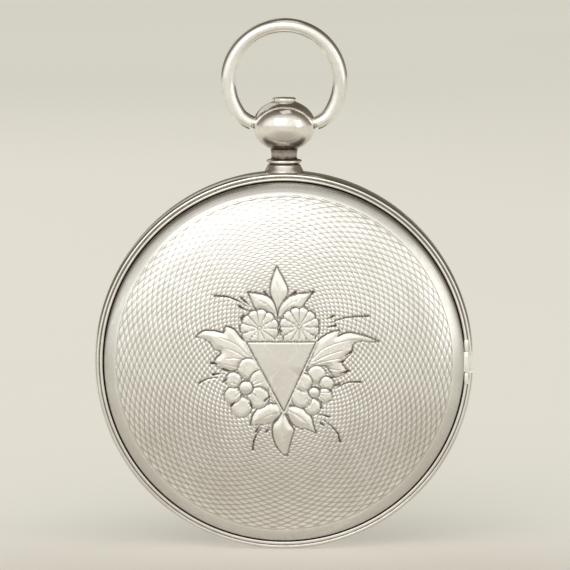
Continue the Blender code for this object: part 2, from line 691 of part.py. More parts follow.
lip_outline = tuple((LIP_REACH + depth, across) for across, depth in lip_points)
combine(bezel, turned_round(stacked("bezel_lip", None, [(lip_y, lip_y + 0.32 * MM, [lip_outline])]), LIP_ANGLE),
        "UNION")
combine(bezel, turned_round(rod("bezel_knuckle_pocket",
    (BEZEL_HINGE_R, BEZEL_HINGE_Y, -COVER_HINGE_HALF - HINGE_GAP),
    (BEZEL_HINGE_R, BEZEL_HINGE_Y, COVER_HINGE_HALF + HINGE_GAP), bezel_pocket), BEZEL_HINGE_ANGLE), "DIFFERENCE")
combine(bezel, turned_round(rod("bezel_knuckle",
    (BEZEL_HINGE_R, BEZEL_HINGE_Y, -COVER_KNUCKLE_HALF),
    (BEZEL_HINGE_R, BEZEL_HINGE_Y, COVER_KNUCKLE_HALF), BEZEL_KNUCKLE_R), BEZEL_HINGE_ANGLE), "UNION")
combine(bezel, turned_round(box("bezel_leaf",
    (BEZEL_HINGE_R - 0.45 * MM, BEZEL_HINGE_Y + 0.22 * MM, -COVER_KNUCKLE_HALF + PIN_GAP),
    (BEZEL_HINGE_R + 0.05 * MM, BEZEL_HINGE_Y + 0.75 * MM, COVER_KNUCKLE_HALF - PIN_GAP)),
    BEZEL_HINGE_ANGLE), "UNION")
combine(bezel, turned_round(rod("bezel_pin_hole",
    (BEZEL_HINGE_R, BEZEL_HINGE_Y, -COVER_KNUCKLE_HALF - 0.3 * MM),
    (BEZEL_HINGE_R, BEZEL_HINGE_Y, COVER_KNUCKLE_HALF + 0.3 * MM), HINGE_PIN_R + PIN_GAP, SEG_FINE),
    BEZEL_HINGE_ANGLE), "DIFFERENCE")

turned_round(rod("bezel_hinge_pin", (BEZEL_HINGE_R, BEZEL_HINGE_Y, -COVER_HINGE_HALF + HINGE_GAP),
                 (BEZEL_HINGE_R, BEZEL_HINGE_Y, COVER_HINGE_HALF - HINGE_GAP), HINGE_PIN_R, SEG_FINE, STEEL),
             BEZEL_HINGE_ANGLE)

crystal_rise = CRYSTAL_TOP_Y - CRYSTAL_SEAT_Y - CRYSTAL_RIM_H
crystal_dome = [(CRYSTAL_R * math.sin(math.radians(a)), CRYSTAL_TOP_Y - crystal_rise
                 * (1 - math.cos(math.radians(a))) ** 1.15) for a in (0, 28, 52, 74, 90)]
turned("crystal", GLASS, [
    (CRYSTAL_R, CRYSTAL_SEAT_Y),
    *reversed(crystal_dome[1:]), (0.0, CRYSTAL_TOP_Y), (0.0, CRYSTAL_TOP_Y - CRYSTAL_THICK),
    *[(r * 0.965, y - CRYSTAL_THICK) for r, y in crystal_dome[1:-1]],
    (CRYSTAL_R - CRYSTAL_THICK, CRYSTAL_SEAT_Y),
], segments=SEG_CASE)


# ---- Pendant: turned neck, onion-shaped ball with the bow's pin holes, sprung push piece and bow

PENDANT = (0.0, CASE_MID_Y)
turned("pendant_neck", SILVER, [
    (STEM_BORE_R, NECK_SEAT_Z),
    (NECK_BASE_R, NECK_SEAT_Z),
    (NECK_BASE_R, NECK_SEAT_Z + 0.45 * MM),
    (2.08 * MM, 22.05 * MM),
    (1.88 * MM, 22.45 * MM),
    (1.86 * MM, 22.75 * MM),
    (NECK_WAIST_R, 22.82 * MM),
    (NECK_WAIST_R, 22.92 * MM),
    (COLLAR_R - 0.08 * MM, COLLAR_Z - 0.17 * MM),
    (COLLAR_R, COLLAR_Z),
    (COLLAR_R - 0.08 * MM, COLLAR_Z + 0.15 * MM),
    (NECK_WAIST_R, 23.42 * MM),
    (NECK_TOP_R, 23.58 * MM),
    (NECK_TOP_R, BALL_FLAT_Z - PENDANT_GAP),
    (STEM_BORE_R, BALL_FLAT_Z - PENDANT_GAP),
], axis="Z", centre=PENDANT)

ball_low = math.asin((BALL_FLAT_Z - BALL_Z) / BALL_HALF_H)
ball_high = math.acos((SPRING_BORE_R + 0.1 * MM) / BALL_R)
ball_side = [(BALL_R * math.cos(ball_low + (ball_high - ball_low) * k / 9),
              BALL_Z + BALL_HALF_H * math.sin(ball_low + (ball_high - ball_low) * k / 9)) for k in range(10)]
ball = turned("pendant_ball", SILVER, [
    (STEM_BORE_R, BALL_FLAT_Z), *ball_side,
    (SPRING_BORE_R, ball_side[-1][1]),
    (SPRING_BORE_R, SPRING_FLOOR_Z),
    (STEM_BORE_R, SPRING_FLOOR_Z),
], axis="Z", centre=PENDANT)
for tool_name, side in (("ball_pin_hole_right", 1), ("ball_pin_hole_left", -1)):
    combine(ball, rod(tool_name, 
        (side * (BOW_PIN_X - 0.1 * MM), CASE_MID_Y, BOW_PIVOT_Z),
        (side * (BALL_R + 0.5 * MM), CASE_MID_Y, BOW_PIVOT_Z), BOW_HOLE_R), "DIFFERENCE")

turned("push_piece", SILVER, [
    (0.0, STEM_TIP_Z),
    (STEM_R, STEM_TIP_Z),
    (STEM_R, PUSH_HEAD_Z),
    (PUSH_R, PUSH_HEAD_Z),
    (PUSH_R, PUSH_FLANGE_Z),
    (PUSH_WAIST_R, PUSH_FLANGE_Z + 0.08 * MM),
    (PUSH_WAIST_R, PUSH_TOP_Z - 0.22 * MM),
    (PUSH_WAIST_R - 0.12 * MM, PUSH_TOP_Z - 0.05 * MM),
    (PUSH_WAIST_R - 0.35 * MM, PUSH_TOP_Z),
    (0.0, PUSH_TOP_Z),
], axis="Z", segments=20, centre=PENDANT)

spring_turns = 4.5
spring_low = SPRING_FLOOR_Z + 0.17 * MM
spring_high = PUSH_HEAD_Z - 0.17 * MM
coil = []
for k in range(int(spring_turns * 10) + 1):
    angle = math.tau * k / 10
    height = spring_low + (spring_high - spring_low) * k / (spring_turns * 10)
    coil.append((1.1 * MM * math.cos(angle), CASE_MID_Y + 1.1 * MM * math.sin(angle), height))
tube("push_piece_spring", STEEL, coil, [0.14 * MM] * len(coil), 5)

bow_start = math.radians(-38)
bow_points = []
bow_last = (BOW_R * math.cos(bow_start), BOW_CENTRE_Z + BOW_R * math.sin(bow_start))
bow_way = (math.sin(bow_start), -math.cos(bow_start))
bow_bend = ((BOW_SHOULDER_X, BOW_PIVOT_Z), (BOW_SHOULDER_X + 0.75 * MM, BOW_PIVOT_Z),
            (bow_last[0] + bow_way[0] * 0.75 * MM, bow_last[1] + bow_way[1] * 0.75 * MM), bow_last)
for k in range(6):
    t = k / 5
    weights = ((1 - t) ** 3, 3 * t * (1 - t) ** 2, 3 * t * t * (1 - t), t ** 3)
    bow_points.append((sum(w * p[0] for w, p in zip(weights, bow_bend)),
                       sum(w * p[1] for w, p in zip(weights, bow_bend))))
bow_points += arc(BOW_R, bow_start, math.pi - bow_start, 27, (0.0, BOW_CENTRE_Z))[1:-1]
bow_points += [(-x, z) for x, z in reversed(bow_points[:6])]
bow_line = [(BOW_PIN_X, BOW_PIVOT_Z), (BOW_SHOULDER_X - 1e-7, BOW_PIVOT_Z)] + bow_points
bow_line += [(-BOW_SHOULDER_X + 1e-7, BOW_PIVOT_Z), (-BOW_PIN_X, BOW_PIVOT_Z)]
bow_radii = [BOW_PIN_R, BOW_PIN_R, 0.8 * MM] + [BOW_WIRE_R] * (len(bow_line) - 6) + [0.8 * MM, BOW_PIN_R, BOW_PIN_R]
tube("bow", SILVER, [(x, CASE_MID_Y, z) for x, z in bow_line], bow_radii, SEG_SMALL)


# ---- Case springs: the lock spring that the stem pushes in, and the fly spring that lifts the cover

spring_middle = SPRING_R - SPRING_THICK / 2
lock_line = arc(spring_middle, math.radians(88), math.radians(150), 15)
lock = stacked("lock_spring", STEEL, [(*SPRING_Y, [strip(lock_line, SPRING_THICK)])])
nose_outline = hull([((-0.4 * MM, 19.57 * MM), 0.1 * MM), ((0.4 * MM, 19.57 * MM), 0.1 * MM),
                     ((0.0, 19.38 * MM), 0.1 * MM)], 8)
foot_outline = hull([((-0.7 * MM, 19.6 * MM), 0.22 * MM), ((0.6 * MM, 19.6 * MM), 0.22 * MM),
                     ((0.0, 19.3 * MM), 0.22 * MM)], 12)
combine(lock, stacked("lock_spring_nose", None, [
    (LOCK_NOSE_Y, SPRING_Y[0] + 0.2 * MM, [nose_outline]),
    (SPRING_Y[0] + 0.2 * MM, SPRING_Y[1] - 0.2 * MM, [foot_outline])]), "UNION")
fly_line = arc(spring_middle, math.radians(-75), math.radians(26), 21)
stacked("fly_spring", STEEL, [(*SPRING_Y, [strip(fly_line, SPRING_THICK)])])


# ---- Plate and bridges: gilt brass, turned and sawn flat, with holes for the pivots and screws

def hole(centre, radius=PIVOT_HOLE_R, count=SEG_FINE):
    """A small round hole."""
    return circle(radius, centre, count)


screw_places = {
    "barrel_bridge_screw_left": (BARREL_FEET[0], BRIDGE_Y[0]),
    "barrel_bridge_screw_right": (BARREL_FEET[1], BRIDGE_Y[0]),
    "centre_cock_screw": (CENTRE_FOOT, BRIDGE_Y[0]),
    "third_cock_screw": (THIRD_FOOT, BRIDGE_Y[0]),
    "fourth_cock_screw": (FOURTH_FOOT, BRIDGE_Y[0]),
    "escape_cock_screw": (ESCAPE_FOOT, BRIDGE_Y[0]),
    "pallet_cock_screw": (PALLET_FOOT, PALLET_COCK_Y[0]),
    "balance_cock_screw": (BALANCE_FOOT, BALANCE_COCK_Y[0]),
}
case_screws = {"case_screw_right": polar(CASE_SCREW_R, CASE_SCREW_ANGLES[0]),
               "case_screw_left": polar(CASE_SCREW_R, CASE_SCREW_ANGLES[1])}
dial_feet = [polar(DIAL_FOOT_R, angle) for angle in DIAL_FOOT_ANGLES]

BARREL_PIVOT_R = 0.5 * MM
CENTRE_ARBOR_R = 0.52 * MM
FOURTH_ARBOR_R = 0.24 * MM
ARBOR_GAP = 0.05 * MM
plate_holes = [hole(place, SCREW_HOLE_R) for place, _ in screw_places.values()]
plate_holes += [hole(place, SCREW_HOLE_R) for place in case_screws.values()]
plate_holes += [hole(place, 0.34 * MM) for place in dial_feet]
plate_holes += [hole(THIRD), hole(ESCAPE), hole(PALLETS), hole(BALANCE)]
plate_holes += [hole(BARREL, BARREL_PIVOT_R + ARBOR_GAP, SEG_SMALL), hole(FOURTH, FOURTH_ARBOR_R + ARBOR_GAP)]
plate_holes += [hole(CENTRE, CENTRE_ARBOR_R + ARBOR_GAP, SEG_SMALL)]
STUD_R = 0.27 * MM
stacked("main_plate", GILT, [
    (PLATE_Y[0], PLATE_Y[1], [circle(PLATE_R, count=SEG_CASE)] + plate_holes),
    (PLATE_Y[1], PLATE_Y[2], [circle(FLANGE_R, count=SEG_CASE)] + plate_holes),
    (PLATE_Y[2], DIAL_Y[0] - 0.1 * MM, [hole(MINUTE_WHEEL, STUD_R)]),
])


def bridge(name, heights, discs, feet, pivots, foot_r):
    """A bridge or cock: a flat bar on pillars that stand on the plate."""
    bar = hull(discs)
    low, high = heights
    screws = [hole(place, SCREW_HOLE_R) for place in feet]
    pillars = [circle(foot_r - 0.12 * MM, place, 20) for place in feet]
    stacked(name, GILT, [
        (low, high, [bar] + screws + pivots),
        (high, PLATE_Y[0] - 0.01 * MM, pillars + screws),
    ])


ARBOR_BORE_R = 0.75 * MM
COCK_R = 1.65 * MM
COCK_TIP_R = 1.05 * MM
bridge("barrel_bridge", BRIDGE_Y, [(BARREL_FEET[0], 1.9 * MM), (BARREL, 3.7 * MM), (BARREL_FEET[1], 1.9 * MM)],
       BARREL_FEET, [hole(BARREL, ARBOR_BORE_R, SEG_SMALL), hole(CLICK_PIVOT, 0.32 * MM)], 1.9 * MM)
bridge("centre_cock", BRIDGE_Y, [(CENTRE_FOOT, COCK_R), (CENTRE, 1.4 * MM)], [CENTRE_FOOT],
       [hole(CENTRE, 0.45 * MM)], COCK_R)
bridge("third_cock", BRIDGE_Y, [(THIRD_FOOT, COCK_R), (THIRD, COCK_TIP_R)], [THIRD_FOOT], [hole(THIRD)], COCK_R)
bridge("fourth_cock", BRIDGE_Y, [(FOURTH_FOOT, COCK_R), (FOURTH, COCK_TIP_R)], [FOURTH_FOOT], [hole(FOURTH)],
       COCK_R)
bridge("escape_cock", BRIDGE_Y, [(ESCAPE_FOOT, 1.4 * MM), (ESCAPE, 0.95 * MM)], [ESCAPE_FOOT], [hole(ESCAPE)],
       1.4 * MM)
bridge("pallet_cock", PALLET_COCK_Y, [(PALLET_FOOT, 1.3 * MM), (PALLETS, 0.8 * MM)], [PALLET_FOOT],
       [hole(PALLETS)], 1.3 * MM)
bridge("balance_cock", BALANCE_COCK_Y, [(BALANCE_FOOT, 1.9 * MM), (BALANCE, 1.6 * MM)], [BALANCE_FOOT],
       [hole(BALANCE)], 1.9 * MM)


def screw(name, place, seat, depth):
    """A slotted cheese-head screw, its head resting on a seat that faces the back of the watch."""
    top = seat - SCREW_GAP - SCREW_HEAD_H
    slot = 0.09 * MM
    half = arc(SCREW_HEAD_R - 0.06 * MM, math.asin(slot / SCREW_HEAD_R), math.pi - math.asin(slot / SCREW_HEAD_R), 7)
    halves = [tuple((place[0] + x, place[1] + z) for x, z in half),
              tuple((place[0] - x, place[1] - z) for x, z in half)]
    stacked(name, BLUED, [
        (top, top + 0.13 * MM, halves),
        (top + 0.13 * MM, seat - SCREW_GAP, [circle(SCREW_HEAD_R, place, SEG_SMALL)]),
        (seat - SCREW_GAP, depth, [circle(SCREW_SHANK_R, place, SEG_FINE)]),
    ])


for screw_name, (place, seat) in screw_places.items():
    screw(screw_name, place, seat, PLATE_Y[1])
for screw_name, place in case_screws.items():
    screw(screw_name, place, MOVEMENT_SEAT_Y, PLATE_Y[1] - 0.1 * MM)


# ---- Barrel with its lid, arbor and mainspring, and the ratchet work on the bridge

def facing(a, b):
    """The angle from one place towards another."""
    return math.atan2(b[1] - a[1], b[0] - a[0])


BARREL_BORE_R = 7.25 * MM
BARREL_WALL_R = 7.6 * MM
BARREL_SLAB_Y = (4.6 * MM, 5.8 * MM, 6.02 * MM, 6.25 * MM)
barrel_teeth = wheel_outline(BARREL_TEETH, BARREL_MODULE, BARREL, facing(BARREL, CENTRE))
barrel_bore = circle(BARREL_BORE_R, BARREL, 32)
stacked("barrel", BRASS, [
    (BARREL_SLAB_Y[0], BARREL_SLAB_Y[1], [circle(BARREL_WALL_R, BARREL, 32), barrel_bore]),
    (BARREL_SLAB_Y[1], BARREL_SLAB_Y[2], [barrel_teeth, barrel_bore]),
    (BARREL_SLAB_Y[2], BARREL_SLAB_Y[3], [barrel_teeth, hole(BARREL, ARBOR_BORE_R, SEG_SMALL)]),
])
stacked("barrel_lid", BRASS, [(4.62 * MM, 4.8 * MM, [
    circle(BARREL_BORE_R - FIT_GAP, BARREL, 32), hole(BARREL, ARBOR_BORE_R, SEG_SMALL)])])
SQUARE_R = 0.66 * MM
ratchet_low = BRIDGE_Y[0] - FIT_GAP - 0.3 * MM
arbor_square = circle(SQUARE_R, BARREL, 4)
stacked("barrel_arbor", STEEL, [
    (2.15 * MM, BRIDGE_Y[0] - FIT_GAP, [arbor_square]),
    (BRIDGE_Y[0] - FIT_GAP, 4.86 * MM, [circle(ARBOR_BORE_R - ARBOR_GAP, BARREL)]),
    (4.86 * MM, 5.96 * MM, [circle(1.9 * MM, BARREL, 20)]),
    (5.96 * MM, 6.33 * MM, [circle(ARBOR_BORE_R - ARBOR_GAP, BARREL)]),
    (6.33 * MM, PLATE_Y[1], [circle(BARREL_PIVOT_R, BARREL)]),
])
coil_line = spiral(2.5 * MM, 7.0 * MM, 4, 14, BARREL, 0.0)
stacked("mainspring", STEEL, [(4.9 * MM, 5.9 * MM, [strip(coil_line, 0.22 * MM)])])
ratchet_square = circle(SQUARE_R + FIT_GAP, BARREL, 4)
stacked("ratchet_wheel", STEEL, [(ratchet_low, BRIDGE_Y[0] - FIT_GAP, [
    saw_outline(RATCHET_TEETH, RATCHET_R, RATCHET_R - 0.28 * MM, BARREL, 1), ratchet_square])])
click_outline = hull([(CLICK_PIVOT, 0.62 * MM), (CLICK_BEAK, 0.10 * MM)], 16)
stacked("click", STEEL, [
    (ratchet_low, BRIDGE_Y[0] - FIT_GAP, [click_outline]),
    (BRIDGE_Y[0] - FIT_GAP, BRIDGE_Y[1] - 0.2 * MM, [circle(0.29 * MM, CLICK_PIVOT, SEG_FINE)]),
])
spring_line = [(10.9 * MM, 10.15 * MM), (9.2 * MM, 10.95 * MM), (7.4 * MM, 11.45 * MM), (5.4 * MM, 11.78 * MM)]
stacked("click_spring", STEEL, [(ratchet_low + 0.05 * MM, BRIDGE_Y[0] - 0.01 * MM, [strip(spring_line, 0.2 * MM)])])


# ---- Going train: each arbor carries its pinion, and its wheel is pushed on to a seat beside the leaves

def crossed_wheel(name, material, outline, heights, centre, bore, rim_inner, hub, arms, arm_width):
    """A flat wheel with its bore and the openings between its arms."""
    stacked(name, material, [(*heights, [outline, circle(bore, centre, SEG_SMALL)]
                              + windows(arms, hub, rim_inner, arm_width, centre))])


SEAT_R = 0.45 * MM
SEAT_BORE_R = SEAT_R + FIT_GAP
crossed_wheel("centre_wheel", BRASS, wheel_outline(CENTRE_TEETH, CENTRE_MODULE, CENTRE, facing(CENTRE, THIRD)),
              (4.2 * MM, 4.5 * MM), CENTRE, 0.85 * MM + FIT_GAP, 4.5 * MM, 1.5 * MM, 4, 0.5 * MM)
SET_BORE_R = 0.31 * MM
set_bore = circle(SET_BORE_R, CENTRE, SEG_SMALL)
stacked("centre_pinion", STEEL, [
    (3.2 * MM, 4.02 * MM, [circle(0.41 * MM, CENTRE), set_bore]),
    (4.02 * MM, 4.55 * MM, [circle(0.85 * MM, CENTRE), set_bore]),
    (4.55 * MM, 5.55 * MM, [circle(0.7 * MM, CENTRE), set_bore]),
    (5.55 * MM, 6.36 * MM, [pinion_outline(CENTRE_LEAVES, BARREL_MODULE, CENTRE, facing(CENTRE, BARREL)), set_bore]),
    (6.36 * MM, 7.7 * MM, [circle(CENTRE_ARBOR_R, CENTRE), set_bore]),
])
crossed_wheel("third_wheel", BRASS, wheel_outline(THIRD_TEETH, THIRD_MODULE, THIRD, facing(THIRD, FOURTH)),
              (5.7 * MM, 6.0 * MM), THIRD, SEAT_BORE_R, 3.75 * MM, 1.1 * MM, 4, 0.45 * MM)
stacked("third_pinion", STEEL, [
    (3.3 * MM, 4.03 * MM, [circle(PIVOT_R, THIRD, SEG_FINE)]),
    (4.03 * MM, 4.68 * MM, [pinion_outline(THIRD_LEAVES, CENTRE_MODULE, THIRD, facing(THIRD, CENTRE))]),
    (4.68 * MM, 6.1 * MM, [circle(SEAT_R, THIRD)]),
    (6.1 * MM, 6.37 * MM, [circle(0.3 * MM, THIRD, SEG_FINE)]),
    (6.37 * MM, 7.1 * MM, [circle(PIVOT_R, THIRD, SEG_FINE)]),
])
crossed_wheel("fourth_wheel", BRASS, wheel_outline(FOURTH_TEETH, FOURTH_MODULE, FOURTH, facing(FOURTH, ESCAPE)),
              (4.9 * MM, 5.2 * MM), FOURTH, SEAT_BORE_R, 3.25 * MM, 1.0 * MM, 4, 0.4 * MM)
stacked("fourth_pinion", STEEL, [
    (3.3 * MM, 4.05 * MM, [circle(PIVOT_R, FOURTH, SEG_FINE)]),
    (4.05 * MM, 5.5 * MM, [circle(SEAT_R, FOURTH)]),
    (5.5 * MM, 6.1 * MM, [pinion_outline(FOURTH_LEAVES, THIRD_MODULE, FOURTH, facing(FOURTH, THIRD))]),
    (6.1 * MM, 9.56 * MM, [circle(FOURTH_ARBOR_R, FOURTH, SEG_FINE)]),
])
stacked("escape_wheel", STEEL, [(5.6 * MM, 5.85 * MM, [
    saw_outline(ESCAPE_TEETH, ESCAPE_R, ESCAPE_R - 0.65 * MM, ESCAPE, -1),
    circle(0.3 * MM + FIT_GAP, ESCAPE, SEG_SMALL)] + windows(4, 0.7 * MM, 1.6 * MM, 0.3 * MM, ESCAPE))])
stacked("escape_pinion", STEEL, [
    (3.3 * MM, 4.05 * MM, [circle(PIVOT_R, ESCAPE, SEG_FINE)]),
    (4.05 * MM, 4.75 * MM, [circle(0.25 * MM, ESCAPE, SEG_FINE)]),
    (4.75 * MM, 5.35 * MM, [pinion_outline(ESCAPE_LEAVES, FOURTH_MODULE, ESCAPE, facing(ESCAPE, FOURTH))]),
    (5.35 * MM, 6.3 * MM, [circle(0.22 * MM, ESCAPE, SEG_FINE)]),
    (6.3 * MM, 7.1 * MM, [circle(PIVOT_R, ESCAPE, SEG_FINE)]),
])


# ---- Escapement and balance, drawn with the pallets and the fork just clear of what they touch in turn

fork_angle = facing(PALLETS, BALANCE)
wheel_angle = facing(PALLETS, ESCAPE)
FORK_REACH = 3.35 * MM
PALLET_REACH = 1.62 * MM
fork_shape = [
    polar(0.5 * MM, fork_angle + math.radians(60), PALLETS),
    polar(FORK_REACH - 0.7 * MM, fork_angle + math.radians(4), PALLETS),
    polar(FORK_REACH, fork_angle + math.radians(8), PALLETS),
    polar(FORK_REACH - 0.4 * MM, fork_angle + math.radians(1), PALLETS),
    polar(FORK_REACH - 0.4 * MM, fork_angle - math.radians(1), PALLETS),
    polar(FORK_REACH, fork_angle - math.radians(8), PALLETS),
    polar(FORK_REACH - 0.7 * MM, fork_angle - math.radians(4), PALLETS),
    polar(0.5 * MM, fork_angle - math.radians(60), PALLETS),
    polar(PALLET_REACH + 0.2 * MM, wheel_angle + math.radians(84), PALLETS),
    polar(PALLET_REACH, wheel_angle + math.radians(70), PALLETS),
    polar(0.62 * MM, wheel_angle + math.radians(55), PALLETS),
    polar(0.32 * MM, wheel_angle, PALLETS),
    polar(0.62 * MM, wheel_angle - math.radians(55), PALLETS),
    polar(PALLET_REACH, wheel_angle - math.radians(70), PALLETS),
    polar(PALLET_REACH + 0.2 * MM, wheel_angle - math.radians(84), PALLETS),
]
stacked("pallet_fork", STEEL, [
    (4.85 * MM, 5.34 * MM, [circle(PIVOT_R, PALLETS, SEG_FINE)]),
    (5.34 * MM, 5.55 * MM, [circle(0.22 * MM, PALLETS, SEG_FINE)]),
    (5.55 * MM, 5.85 * MM, [tuple(fork_shape)]),
    (5.85 * MM, 6.36 * MM, [circle(0.22 * MM, PALLETS, SEG_FINE)]),
    (6.36 * MM, 7.1 * MM, [circle(PIVOT_R, PALLETS, SEG_FINE)]),
])
STAFF_SEAT_R = 0.4 * MM
BALANCE_R = 5.7 * MM
stacked("balance_wheel", BRASS, [(4.2 * MM, 4.6 * MM, [
    circle(BALANCE_R, BALANCE, 32), circle(STAFF_SEAT_R + FIT_GAP, BALANCE, SEG_SMALL)]
    + windows(2, 1.0 * MM, BALANCE_R - 0.7 * MM, 0.7 * MM, BALANCE, fork_angle, 12))])
pin_place = polar(0.86 * MM, facing(BALANCE, PALLETS), BALANCE)
stacked("balance_staff", STEEL, [
    (3.05 * MM, 3.54 * MM, [circle(PIVOT_R, BALANCE, SEG_FINE)]),
    (3.54 * MM, 4.1 * MM, [circle(0.28 * MM, BALANCE, SEG_FINE)]),
    (4.1 * MM, 4.68 * MM, [circle(STAFF_SEAT_R, BALANCE)]),
    (4.68 * MM, 5.2 * MM, [circle(0.55 * MM, BALANCE)]),
    (5.2 * MM, 5.45 * MM, [circle(1.15 * MM, BALANCE, 20)]),
    (5.45 * MM, 5.8 * MM, [circle(0.22 * MM, BALANCE, SEG_FINE), circle(0.13 * MM, pin_place, SEG_FINE)]),
    (5.8 * MM, 6.36 * MM, [circle(0.22 * MM, BALANCE, SEG_FINE)]),
    (6.36 * MM, 7.1 * MM, [circle(PIVOT_R, BALANCE, SEG_FINE)]),
])
hair_phase = facing(BALANCE, BALANCE_FOOT)
hair_line = spiral(0.8 * MM, 2.6 * MM, 4, 11, BALANCE, hair_phase)
hairspring = stacked("hairspring", BLUED, [(3.62 * MM, 3.84 * MM, [strip(hair_line, 0.09 * MM)])])
stud_x, stud_z = polar(2.6 * MM, hair_phase, BALANCE)
combine(hairspring, rod("hairspring_stud", (stud_x, 3.52 * MM, stud_z), (stud_x, 3.8 * MM, stud_z), 0.25 * MM),
        "UNION")
stacked("regulator", STEEL, [(2.78 * MM, 2.93 * MM, [
    hull([(BALANCE, 1.3 * MM), (polar(4.2 * MM, hair_phase, BALANCE), 0.12 * MM)]),
    circle(0.8 * MM, BALANCE)])])


# ---- Motion work, dial and hands, seen from the front

def clockwise(centre, angle, along, across=0.0):
    """A point on a hand: along it from its axis, for a dial angle clockwise from twelve."""
    return (centre[0] - along * math.sin(angle) - across * math.cos(angle),
            centre[1] + along * math.cos(angle) - across * math.sin(angle))


SET_ARBOR_R = SET_BORE_R - 0.03 * MM
cannon_outline = pinion_outline(CANNON_LEAVES, CANNON_MODULE, CENTRE, facing(CENTRE, MINUTE_WHEEL))
CANNON_TUBE_R = 0.62 * MM
HAND_SEAT_R = 0.45 * MM
stacked("cannon_pinion", STEEL, [
    (2.3 * MM, 2.95 * MM, [circle(0.42 * MM, CENTRE, 4)]),
    (2.95 * MM, 7.9 * MM, [circle(SET_ARBOR_R, CENTRE)]),
    (7.9 * MM, 8.22 * MM, [cannon_outline]),
    (8.22 * MM, 9.93 * MM, [circle(CANNON_TUBE_R, CENTRE)]),
    (9.93 * MM, 10.16 * MM, [circle(HAND_SEAT_R, CENTRE)]),
])
minute_bore = circle(STUD_R + 0.03 * MM, MINUTE_WHEEL, SEG_FINE)
stacked("minute_wheel", BRASS, [
    (7.97 * MM, 8.17 * MM, [wheel_outline(MINUTE_TEETH, CANNON_MODULE, MINUTE_WHEEL, facing(MINUTE_WHEEL, CENTRE)),
                            minute_bore]),
    (8.17 * MM, 8.6 * MM, [pinion_outline(MINUTE_LEAVES, HOUR_MODULE, MINUTE_WHEEL, facing(MINUTE_WHEEL, CENTRE)),
                           minute_bore]),
])
PIPE_R = 1.0 * MM
pipe_bore = circle(CANNON_TUBE_R + ARBOR_GAP, CENTRE, SEG_SMALL)
stacked("hour_wheel", BRASS, [
    (8.32 * MM, 8.55 * MM, [wheel_outline(HOUR_TEETH, HOUR_MODULE, CENTRE, facing(CENTRE, MINUTE_WHEEL)), pipe_bore]),
    (8.55 * MM, 9.6 * MM, [circle(PIPE_R, CENTRE, SEG_SMALL), pipe_bore]),
    (9.6 * MM, 9.78 * MM, [circle(PIPE_R - 0.12 * MM, CENTRE, SEG_SMALL), pipe_bore]),
])
stacked("dial", ENAMEL, [
    (PLATE_Y[1] + 0.05 * MM, DIAL_Y[0], [hole(place, 0.3 * MM) for place in dial_feet]),
    (DIAL_Y[0], DIAL_Y[1], [circle(DIAL_R, count=SEG_CASE), circle(1.2 * MM), hole(FOURTH, 0.45 * MM)]),
])


def hand(name, heights, centre, angle, hub, bore, spine):
    """A flat blued hand: a bored round boss, and a blade given as (distance, half width) along its length."""
    blade = [clockwise(centre, angle, along, half) for along, half in spine]
    blade += [clockwise(centre, angle, along, -half) for along, half in reversed(spine) if half > 1e-9]
    start = spine[0][1] / hub
    boss = [clockwise(centre, angle + side, hub) for side in
            (start + (math.tau - 2 * start) * k / 16 for k in range(15, 0, -1))]
    boss_loop = tuple(blade + boss)
    stacked(name, BLUED, [(*heights, [boss_loop, circle(bore, centre, SEG_SMALL)])])


hand("hour_hand", (9.61 * MM, 9.76 * MM), CENTRE, HOUR_ANGLE, 1.35 * MM, PIPE_R - 0.12 * MM + FIT_GAP, [
    (1.32 * MM, 0.28 * MM), (5.2 * MM, 0.22 * MM), (6.3 * MM, 0.95 * MM), (7.2 * MM, 1.05 * MM),
    (8.2 * MM, 0.5 * MM), (9.9 * MM, 0.0)])
hand("minute_hand", (9.94 * MM, 10.09 * MM), CENTRE, MINUTE_ANGLE, 1.0 * MM, HAND_SEAT_R + FIT_GAP, [
    (0.97 * MM, 0.25 * MM), (9.0 * MM, 0.16 * MM), (10.2 * MM, 0.7 * MM), (11.0 * MM, 0.75 * MM),
    (12.0 * MM, 0.32 * MM), (15.2 * MM, 0.0)])
hand("seconds_hand", (9.42 * MM, 9.52 * MM), FOURTH, SECOND_ANGLE, 0.5 * MM, FOURTH_ARBOR_R + FIT_GAP, [
    (0.48 * MM, 0.12 * MM), (2.0 * MM, 0.09 * MM), (3.6 * MM, 0.05 * MM)])
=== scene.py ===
"""Key-wind silver fob watch, seen from its engine-turned and hand-engraved back.

Metres in the frame, millimetres in the tables below. The back faces -Y, the dial +Y and the pendant +Z.
"""

import math

import bmesh
import bpy
import numpy as np
from mathutils import Matrix, Vector


